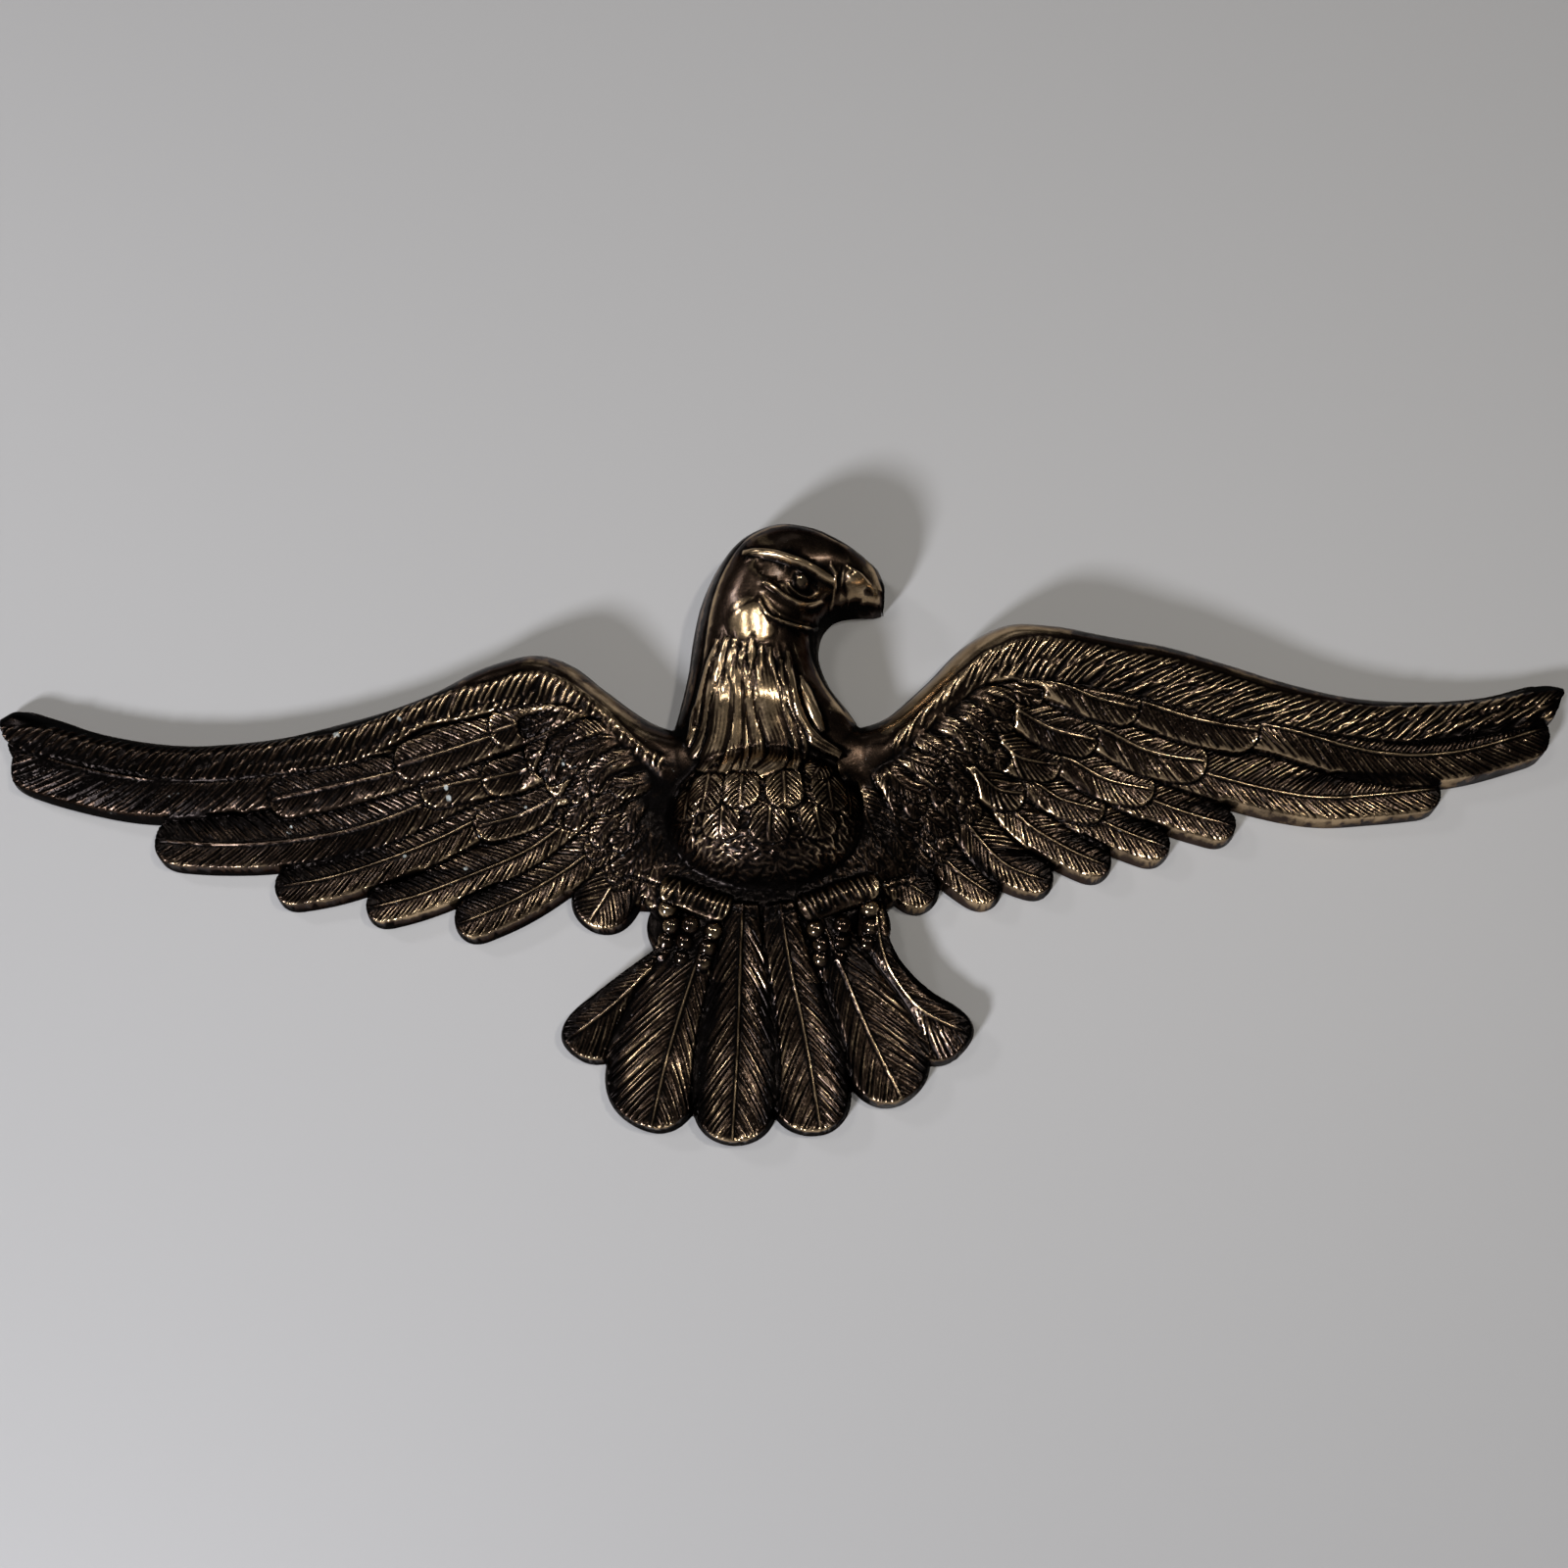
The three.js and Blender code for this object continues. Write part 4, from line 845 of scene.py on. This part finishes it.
def wing_recess(side, draft):
    """Outline of the hollow behind a wing, smaller by the draft."""
    line = leading_lines[side][:, :2]
    bed = curve(BED[side])
    upper, lower = [], []
    for place in np.linspace(0.15 + draft * 0.01, 0.81 - draft * 0.01, 15):
        start = np.array([np.interp(place, np.linspace(0, 1, len(line)), line[:, k]) for k in (0, 1)])
        end = np.array([np.interp(place, np.linspace(0, 1, len(bed)), bed[:, k]) for k in (0, 1)])
        way = end - start
        upper.append(start + way * (BORDER + draft) / np.hypot(*way))
        lower.append(start + way * 0.76 - way / np.hypot(*way) * draft)
    return upper + lower[::-1]


def neck_recess(draft):
    left, right = [], []
    for place in np.linspace(0.25, 0.88, 12):
        index = int(place * (len(crown_line) - 1))
        a, b = crown_line[index], throat_line[index]
        way = (b - a) / np.hypot(*(b - a))
        left.append(a + (b - a) * 0.18 + way * draft)
        right.append(a + (b - a) * 0.82 - way * draft)
    return left + right[::-1]


def breast_recess(draft):
    turn = np.linspace(0, 2 * math.pi, 28, endpoint=False)
    x = BREAST_RECESS["x"] + (BREAST_RECESS["half_width"] - draft) * np.cos(turn)
    z = BREAST_RECESS["z"] + (BREAST_RECESS["half_height"] - draft) * np.sin(turn)
    return list(np.stack([x, z], 1))


def keyhole_outline(half_width):
    """The round mouth, and above it a way of the given half width."""
    head_radius = KEYHOLE["head"]
    open_at = math.asin(min(1.0, half_width / head_radius))
    turns = np.linspace(math.pi / 2 + open_at, 2.5 * math.pi - open_at, 20)
    low = [(head_radius * math.cos(t), KEYHOLE["z"] + head_radius * math.sin(t)) for t in turns]
    top = KEYHOLE["z"] + KEYHOLE["rise"]
    return low + [(half_width, top), (-half_width, top)]


def loop_points(outline, depth):
    return [(x * MM, -depth * MM, z * MM) for x, z in outline]


hollows = [
    [(wing_recess("right", 0), 0), (wing_recess("right", RECESS_DRAFT), RECESS)],
    [(wing_recess("left", 0), 0), (wing_recess("left", RECESS_DRAFT), RECESS)],
    [(neck_recess(0), 0), (neck_recess(RECESS_DRAFT), RECESS)],
    [(breast_recess(0), 0), (breast_recess(RECESS_DRAFT), RECESS)],
    [(keyhole_outline(KEYHOLE["slot"]), 0), (keyhole_outline(KEYHOLE["slot"]), KEYHOLE["lip"]),
     (keyhole_outline(KEYHOLE["head"] - 0.01), KEYHOLE["lip"]),
     (keyhole_outline(KEYHOLE["head"] - 0.01), KEYHOLE["depth"])],
]

mesh = plaque.data
co = read(mesh.vertices, "co", 3)
edge_ends = read(mesh.edges, "vertices", 2, np.int32)
loop_edges = read(mesh.loops, "edge_index", kind=np.int32)
open_edges = edge_ends[np.bincount(loop_edges, minlength=len(edge_ends)) == 1]
border = np.unique(open_edges)
co[border, 1] = 0
mesh.vertices.foreach_set("co", co.ravel())
order = {int(v): i for i, v in enumerate(border)}
plan = [Vector((co[v, 0], co[v, 2])) for v in border]
plan_edges = [(order[int(a)], order[int(b)]) for a, b in open_edges]
for hollow in hollows:
    first = len(plan)
    outline = hollow[0][0]
    plan += [Vector((x * MM, z * MM)) for x, z in outline]
    plan_edges += [(first + i, first + (i + 1) % len(outline)) for i in range(len(outline))]
flat_points, _, flat_faces, _, _, _ = delaunay_2d_cdt(plan, plan_edges, [], 1, 1e-7)


def encloses(outline, x, z):
    """Whether a place lies inside a closed outline."""
    odd = False
    for (ax, az), (bx, bz) in zip(outline, [*outline[1:], outline[0]]):
        if (az > z) != (bz > z) and x < (bx - ax) * (z - az) / (bz - az) + ax:
            odd = not odd
    return odd


back_points = [(p.x, 0.0, p.y) for p in flat_points]
back_faces = []
for face_corners in flat_faces:
    centre = sum((flat_points[i] for i in face_corners), Vector((0, 0))) / len(face_corners)
    spot_in = centre.x / MM, centre.y / MM
    if not any(encloses([tuple(p) for p in hollow[0][0]], *spot_in) for hollow in hollows):
        back_faces.append(tuple(face_corners))
for hollow in hollows:
    first = len(back_points)
    size = len(hollow[0][0])
    for outline, depth in hollow:
        back_points += loop_points(outline, depth)
    for level in range(len(hollow) - 1):
        for i in range(size):
            a = first + level * size + i
            b = first + level * size + (i + 1) % size
            back_faces.append((a, b, b + size, a + size))
    back_faces.append(tuple(range(first + (len(hollow) - 1) * size, first + len(hollow) * size)))

back_mesh = bpy.data.meshes.new("back")
back_mesh.from_pydata(back_points, [], back_faces)
back = add_object("back", back_mesh)
back.select_set(True)
plaque.select_set(True)
bpy.context.view_layer.objects.active = plaque
bpy.ops.object.join()
bpy.ops.object.mode_set(mode="EDIT")
bpy.ops.mesh.select_all(action="SELECT")
bpy.ops.mesh.remove_doubles(threshold=0.02 * MM)
bpy.ops.mesh.normals_make_consistent(inside=False)
bpy.ops.object.mode_set(mode="OBJECT")
bpy.ops.object.shade_smooth_by_angle(angle=math.radians(62))
for part in plaque.data.polygons:
    if part.normal.y > BACK_FACING:
        part.use_smooth = False
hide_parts("eagle_plaque")
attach(plaque, "root")


# The finish: brass with a dark brown patina left in the recesses and rubbed back on everything that stands
# proud, a thin wax over it, and a few pale specks of dirt on the left wing. Painted into its colour are also
# shade on the upper edges, the left wing and the shaded places of the body and neck, highlights on the rubbed
# head and wrists, and a reflection of the pale wall on the lower walls.
# Painted reflection of the pale wall on the downward-facing lower walls, as brass colour, stronger on the
# right wing than on the left
LOW_WALL_REFLECTION = {"right": 0.78, "left": 0.32}
RUB_LEVEL = 0.42
RUB_DEPTH = 0.5
MOST_RUB = 0.6
# Painted shade on the upper and side edges: how much darker they are beside rubbed places and in all
EDGE_SHADE_NEAR_RUB = 0.45
EDGE_SHADE = 0.4
# The back is left as it came from the sand
BACK_POLISH = -1.5
BACK_RUB = 0.4
# The cheek is rubbed to satin: x, z, radius and how dull
SATIN_CHEEK = (-8, 41, 9, 0.8)
# Places rubbed brighter by hands and cloth on proud forms, with highlights also painted there (cheek, ruff,
# brow, wrist crests, right wing), and, where the amount is negative, painted shade or less rubbing (left
# wing, crown and throat flanks, lower breast, between the legs, shoulders, toes, eye): x, z, radius, how much
WEAR_AND_SHADE_SPOTS = [
    (-8, 41, 10, 0.6), (-16, 14, 14, 0.6), (0, 6, 14, 0.5), (-12, -12, 12, 0.45), (38, 61, 8, 0.5),
    (-2, 71, 8, 0.4), (12, 67, 7, 0.35), (3, 55, 7, 0.4), (14, 52, 6, 0.3), (*EYE, 5, -0.35),
    (-16, 82, 9, -0.3), (14, 85, 11, -0.35), (34, 76, 9, -0.25), (24, 32, 12, -0.3),
    (-52, -7, 7, 0.3), (-60, 0, 7, 0.45), (-68, 8, 7, 0.5), (-77, 15, 7, 0.35), (-88, 21, 8, 0.2),
    (55, 2, 8, 0.35), (68, 14, 8, 0.35), (80, 26, 9, 0.35), (92, 33, 9, 0.3), (108, 35, 10, 0.2),
    (-20, -27, 11, 0.35), (4, -27, 14, 0.25), (-2, -58, 24, -0.3), (64, -28, 24, -0.2), (-52, -30, 20, -0.2),
    (-33, -86, 13, -0.5), (30, -86, 14, -0.5), (-1, -72, 10, -0.5), (-44, -42, 12, -0.3), (44, -42, 12, -0.3),
    (-70, 5, 30, -0.1), (-33, -68, 9, -0.15), (30, -68, 9, -0.15), (100, -56, 26, 0.1), (-44, -60, 8, 0.25),
    (-290, -2, 50, -0.55), (-225, -12, 50, -0.3), (-150, 4, 40, -0.15), (-90, -6, 20, -0.2),
    (-200, -55, 45, -0.15), (214, -24, 22, 0.1),
]


def sample(field, x, z):
    """A field read between the points of the board."""
    column = np.clip((x - board_x[0]) / STEP, 0, field.shape[1] - 1.001)
    row = np.clip((z - board_z[0]) / STEP, 0, field.shape[0] - 1.001)
    c, r = column.astype(int), row.astype(int)
    u, v = column - c, row - r
    upper = field[r, c] * (1 - u) + field[r, c + 1] * u
    lower = field[r + 1, c] * (1 - u) + field[r + 1, c + 1] * u
    return upper * (1 - v) + lower * v


fine = height - blurred(height, 1.0)
broad = height - blurred(height, 5.0)
mesh = plaque.data
co = read(mesh.vertices, "co", 3)
x_mm, z_mm = co[:, 0] / MM, co[:, 2] / MM
rub_and_shade = RUB_LEVEL + np.clip(sample(fine, x_mm, z_mm) / RUB_DEPTH, -0.6, MOST_RUB)
rub_and_shade += np.clip(0.06 * sample(broad, x_mm, z_mm), -0.3, 0.1)
from_edge = sample(inside, x_mm, z_mm)
well_inside = smooth((from_edge - 3) / 3)
# Rubbing and painted highlights where the amount is positive, painted shade and less rubbing where it is
# negative
for x, z, radius, amount in WEAR_AND_SHADE_SPOTS:
    share = amount * np.exp(-((x_mm - x) ** 2 + (z_mm - z) ** 2) / radius ** 2)
    rub_and_shade += share * (well_inside if amount > 0 else 1)
facing_down = smooth(sample(slope_z, x_mm, z_mm) - 0.1)
# Painted shade on the upper and side edges near the outline, wherever the casting does not face down
shaded_upper_edge = (1 - facing_down) * (1 - smooth((from_edge - 2) / 7))
rub_and_shade = np.minimum(rub_and_shade - EDGE_SHADE_NEAR_RUB * shaded_upper_edge, 1 - 0.85 * shaded_upper_edge)
# Painted reflection of the pale wall on the walls that face down near the outline
low_wall_reflection = np.where(x_mm > 40, LOW_WALL_REFLECTION["right"], LOW_WALL_REFLECTION["left"])
reflecting_low_wall = facing_down * (1 - smooth((from_edge - 1.6) / 1.2))
rub_and_shade = np.maximum(np.clip(rub_and_shade, 0, 1), low_wall_reflection * reflecting_low_wall)
rub_and_shade -= EDGE_SHADE * shaded_upper_edge
polished = smooth(2 - 2 * np.hypot(x_mm - EYE[0], z_mm - EYE[1]) / (EYE_RADIUS + 1))
x, z, radius, dulled = SATIN_CHEEK
polished -= dulled * np.exp(-((x_mm - x) ** 2 + (z_mm - z) ** 2) / radius ** 2)
for toe in TOES:
    for x, z in toe:
        polished = np.maximum(polished, smooth(2 - 2 * np.hypot(x_mm - x, z_mm - z) / (JOINT_RADIUS + 0.5)))
corner_of = read(mesh.loops, "vertex_index", kind=np.int32)
sides = read(mesh.polygons, "loop_total", kind=np.int32)
facing_back = np.repeat(read(mesh.polygons, "normal", 3)[:, 1] > BACK_FACING, sides)
leaning_back = (read(mesh.vertex_normals, "vector", 3)[:, 1] > 0.3) & (from_edge > 0.5)
behind = facing_back | leaning_back[corner_of]
for name, values, at_back in (("rub_and_shade", rub_and_shade, BACK_RUB), ("polished", polished, BACK_POLISH)):
    attribute = mesh.attributes.new(name, "FLOAT", "CORNER")
    attribute.data.foreach_set("value", np.where(behind, at_back, values[corner_of]).astype(np.float32))


class Node:
    """A socket of the finish, with the sums that are used on it."""

    tree = None

    def __init__(self, socket):
        self.socket = socket

    @classmethod
    def add(cls, kind, output=0, settings=None, **inputs):
        """Another node of the tree, its settings first and then the values or links of its sockets."""
        node = cls.tree.nodes.new(kind)
        for key, value in (settings or {}).items():
            setattr(node, key, value)
        for key, value in inputs.items():
            socket = node.inputs[int(key[1:])] if key[0] == "i" and key[1:].isdigit() else node.inputs[key]
            if isinstance(value, Node):
                cls.tree.links.new(value.socket, socket)
            else:
                socket.default_value = value
        return cls(node.outputs[output])

    def math(self, operation, other=0.0, swapped=False, clamp=False):
        pair = (other, self) if swapped else (self, other)
        settings = {"operation": operation, "use_clamp": clamp}
        return Node.add("ShaderNodeMath", settings=settings, i0=pair[0], i1=pair[1])

    def __add__(self, other):
        return self.math("ADD", other)

    def __sub__(self, other):
        return self.math("SUBTRACT", other)

    def __rsub__(self, other):
        return self.math("SUBTRACT", other, swapped=True)

    def __mul__(self, other):
        return self.math("MULTIPLY", other)

    __radd__ = __add__
    __rmul__ = __mul__

    def clamped(self):
        return self.math("ADD", 0.0, clamp=True)


def noise(place, scale, detail):
    return Node.add("ShaderNodeTexNoise", Vector=place, Scale=scale, Detail=detail)


def mixed(share, a, b):
    """Two colours blended by a mask."""
    node = Node.tree.nodes.new("ShaderNodeMix")
    node.data_type = "RGBA"
    for index, value in ((0, share), (6, a), (7, b)):
        if isinstance(value, Node):
            Node.tree.links.new(value.socket, node.inputs[index])
        else:
            node.inputs[index].default_value = value
    return Node(node.outputs[2])


COAT_ROUGHNESS = 0.18
PATINA = (0.008, 0.0065, 0.006, 1)
BROWN = (0.060, 0.038, 0.025, 1)
RUBBED_BRASS = (0.66, 0.47, 0.27, 1)
EDGE_TINT = (0.16, 0.13, 0.11, 1)
DIRT = (0.55, 0.60, 0.58, 1)
# Repeats of each noise to a metre
CLOUD_SCALE = 40.0
BLOTCH_SCALE = 170.0
GRAIN_SCALE = 900.0
# Specks of dirt: x, z and radius
SPECKS = [
    (-177, -2, 2.2), (-151, 4, 1.6), (-131, -27, 2.0), (-132, -23, 1.4), (-149, -50, 1.6), (-124, -55, 1.6),
    (-100, -30, 1.1), (-196, -38, 1.0), (-84, -14, 1.0),
]

brass = bpy.data.materials.new("patinated_brass")
brass.use_nodes = True
Node.tree = brass.node_tree
Node.tree.nodes.clear()
place = Node.add("ShaderNodeTexCoord", output=3)
# The rubbing read from the mesh, with the painted shade, painted highlights and painted wall reflection laid
# into it, then broken up by noise
rub_and_shade_read = Node.add("ShaderNodeAttribute", output=2, settings={"attribute_name": "rub_and_shade"})
polish = Node.add("ShaderNodeAttribute", output=2, settings={"attribute_name": "polished"})
cloud = noise(place, CLOUD_SCALE, 3.0)
blotch = noise(place, BLOTCH_SCALE, 2.0)
grain = noise(place, GRAIN_SCALE, 3.0)
wear_and_shade = (rub_and_shade_read + (cloud - 0.5) * 0.5 + (blotch - 0.5) * 0.35 + (grain - 0.5) * 0.15).clamped()
bright = ((wear_and_shade - 0.76) * 4.0).clamped()
brown = (wear_and_shade * 2.0 - 0.35).clamped()
flat_place = Node.add("ShaderNodeVectorMath", settings={"operation": "MULTIPLY"}, i0=place, i1=(1, 0, 1))
dirt = Node.add("ShaderNodeMath", i0=0.0, i1=0.0)
for x, z, radius in SPECKS:
    away = Node.add("ShaderNodeVectorMath", output=1, settings={"operation": "DISTANCE"},
                    i0=flat_place, i1=(x * MM, 0, z * MM))
    dirt = dirt.math("MAXIMUM", 1 - away * (1 / (radius * MM)))
ragged = (grain - 0.5) * 0.9 + (blotch - 0.5) * 1.1
dirt = ((dirt - 0.35 + ragged) * 4.0).clamped() * 0.7 * (polish + 1.0).clamped()
colour = mixed(dirt, mixed(bright, mixed(brown, PATINA, BROWN), RUBBED_BRASS), DIRT)
rough = 0.29 - 0.06 * wear_and_shade + 0.12 * (grain - 0.5) + 0.4 * dirt - 0.15 * polish
metal = 0.95 - 0.9 * dirt
shader = brass.node_tree.nodes.new("ShaderNodeBsdfPrincipled")
output = brass.node_tree.nodes.new("ShaderNodeOutputMaterial")
links = brass.node_tree.links
links.new(colour.socket, shader.inputs["Base Color"])
links.new(rough.socket, shader.inputs["Roughness"])
links.new(metal.socket, shader.inputs["Metallic"])
links.new((1.1 * wear_and_shade - 0.45).clamped().socket, shader.inputs["Coat Weight"])
shader.inputs["Coat Roughness"].default_value = COAT_ROUGHNESS
shader.inputs["Specular Tint"].default_value = EDGE_TINT
relief = Node.add("ShaderNodeBump", Height=grain, Strength=0.25, Distance=0.0002)
links.new(relief.socket, shader.inputs["Normal"])
links.new(shader.outputs[0], output.inputs["Surface"])
mesh.materials.clear()
mesh.materials.append(brass)


# The wall it hangs on, and a plain pale floor well below. The wall is seen from the front only, and
# it is open behind the plaque, along its outline, so that the back can be looked at.
WALL_SIZE = 5.0
FLOOR_DROP = 1.9
PALE = (0.52, 0.52, 0.515, 1)
PAINT_ROUGHNESS = 0.55
WALL_GAP = 0.0002


def pale_paint(name, one_sided):
    """Matte paint, clear from behind where it is one-sided."""
    paint = bpy.data.materials.new(name)
    paint.use_nodes = True
    nodes = paint.node_tree.nodes
    surface = nodes["Principled BSDF"]
    surface.inputs["Base Color"].default_value = PALE
    surface.inputs["Roughness"].default_value = PAINT_ROUGHNESS
    if one_sided:
        geometry = nodes.new("ShaderNodeNewGeometry")
        clear = nodes.new("ShaderNodeBsdfTransparent")
        choice = nodes.new("ShaderNodeMixShader")
        paint.node_tree.links.new(geometry.outputs["Backfacing"], choice.inputs[0])
        paint.node_tree.links.new(surface.outputs[0], choice.inputs[1])
        paint.node_tree.links.new(clear.outputs[0], choice.inputs[2])
        paint.node_tree.links.new(choice.outputs[0], nodes["Material Output"].inputs[0])
    return paint


bpy.ops.object.select_all(action="DESELECT")
far = WALL_SIZE / 2
wall_plan = [*plan[:len(border)], *(Vector(p) for p in ((-far, -far), (far, -far), (far, far), (-far, far)))]
wall_edges = [(order[int(a)], order[int(b)]) for a, b in open_edges]
wall_edges += [(len(border) + k, len(border) + (k + 1) % 4) for k in range(4)]
wall_flat, _, wall_faces, _, _, _ = delaunay_2d_cdt(wall_plan, wall_edges, [], 1, 1e-7)
wall_points = [(p.x, WALL_GAP, p.y) for p in wall_flat]
centres = np.array([[sum(wall_flat[i][k] for i in f) / len(f) / MM for k in (0, 1)] for f in wall_faces])
covered = sample(inside, centres[:, 0], centres[:, 1]) > 0
wall_faces = [f for f, hidden in zip(wall_faces, covered) if not hidden]
wall_mesh = bpy.data.meshes.new("pale_wall")
wall_mesh.from_pydata(wall_points, [], wall_faces)
wall_mesh.materials.append(pale_paint("wall_paint", True))
wall_plane = add_object("pale_wall", wall_mesh)
bpy.ops.mesh.primitive_plane_add(size=WALL_SIZE, location=(0, -WALL_SIZE / 2, -FLOOR_DROP))
floor = bpy.context.object
floor.name = "pale_floor"
floor.data.materials.append(pale_paint("floor_paint", False))


# Light: one strong soft lamp low on the left, whose shadows fall up and to the right, four weak
# ones high in front whose reflections are the highlights of the brass, a faint one overhead, and a
# large panel behind for the back. All of them point at the plaque.
def soft_lamp(name, where, size, power, colour=(1, 1, 1), spread=180):
    lamp = bpy.data.lights.new(name, "AREA")
    lamp.shape = "DISK"
    lamp.size = size
    lamp.energy = power
    lamp.color = colour
    lamp.spread = math.radians(spread)
    holder = add_object(name, lamp)
    holder.location = where
    holder.rotation_euler = (-Vector(where)).to_track_quat("-Z", "Y").to_euler()


# Name, place, diameter in metres, watts, colour and spread in degrees
soft_lamp("low_left_lamp", (-1.18, -1.15, -1.42), 0.34, 27, (0.92, 0.93, 1), 150)
soft_lamp("far_left_lamp", (-1.20, -0.94, 0.75), 0.2, 3.2, (0.98, 0.96, 1))
soft_lamp("near_left_lamp", (-0.72, -1.55, 0.33), 0.3, 2.6, (1, 0.97, 0.93))
soft_lamp("front_lamp", (0.10, -1.72, 0.30), 0.12, 3.2, (1, 0.97, 0.93))
soft_lamp("front_right_lamp", (0.74, -1.58, 0.20), 0.14, 5.6, (1, 0.94, 0.86))
soft_lamp("overhead_window", (0.1, -0.75, 1.5), 0.6, 0.3, (0.97, 0.98, 1))
soft_lamp("rear_panel", (0, 2.2, 0.5), 4.0, 200)

ROOM_COLOUR = (0.75, 0.76, 0.80, 1)
ROOM_STRENGTH = 0.03

world = bpy.data.worlds.new("studio")
bpy.context.scene.world = world
world.use_nodes = True
world.node_tree.nodes["Background"].inputs[0].default_value = ROOM_COLOUR
world.node_tree.nodes["Background"].inputs[1].default_value = ROOM_STRENGTH


# The camera stands close in front and a little below, looking up at the plaque by 15 degrees.
CAMERA_TARGET = Vector((0.0062, 0, -0.0172))
CAMERA_REACH = 0.610
CAMERA_BELOW = math.radians(15)
HALF_VIEW = math.radians(28.4)
SENSOR = 36

camera_data = bpy.data.cameras.new("camera")
camera_data.sensor_width = SENSOR
camera_data.lens = SENSOR / 2 / math.tan(HALF_VIEW)
camera = add_object("camera", camera_data)
away = Vector((0, -math.cos(CAMERA_BELOW), -math.sin(CAMERA_BELOW)))
camera.location = CAMERA_TARGET + away * CAMERA_REACH
camera.rotation_euler = (-away).to_track_quat("-Z", "Y").to_euler()
bpy.context.scene.camera = camera
bpy.context.scene.view_settings.view_transform = "Standard"
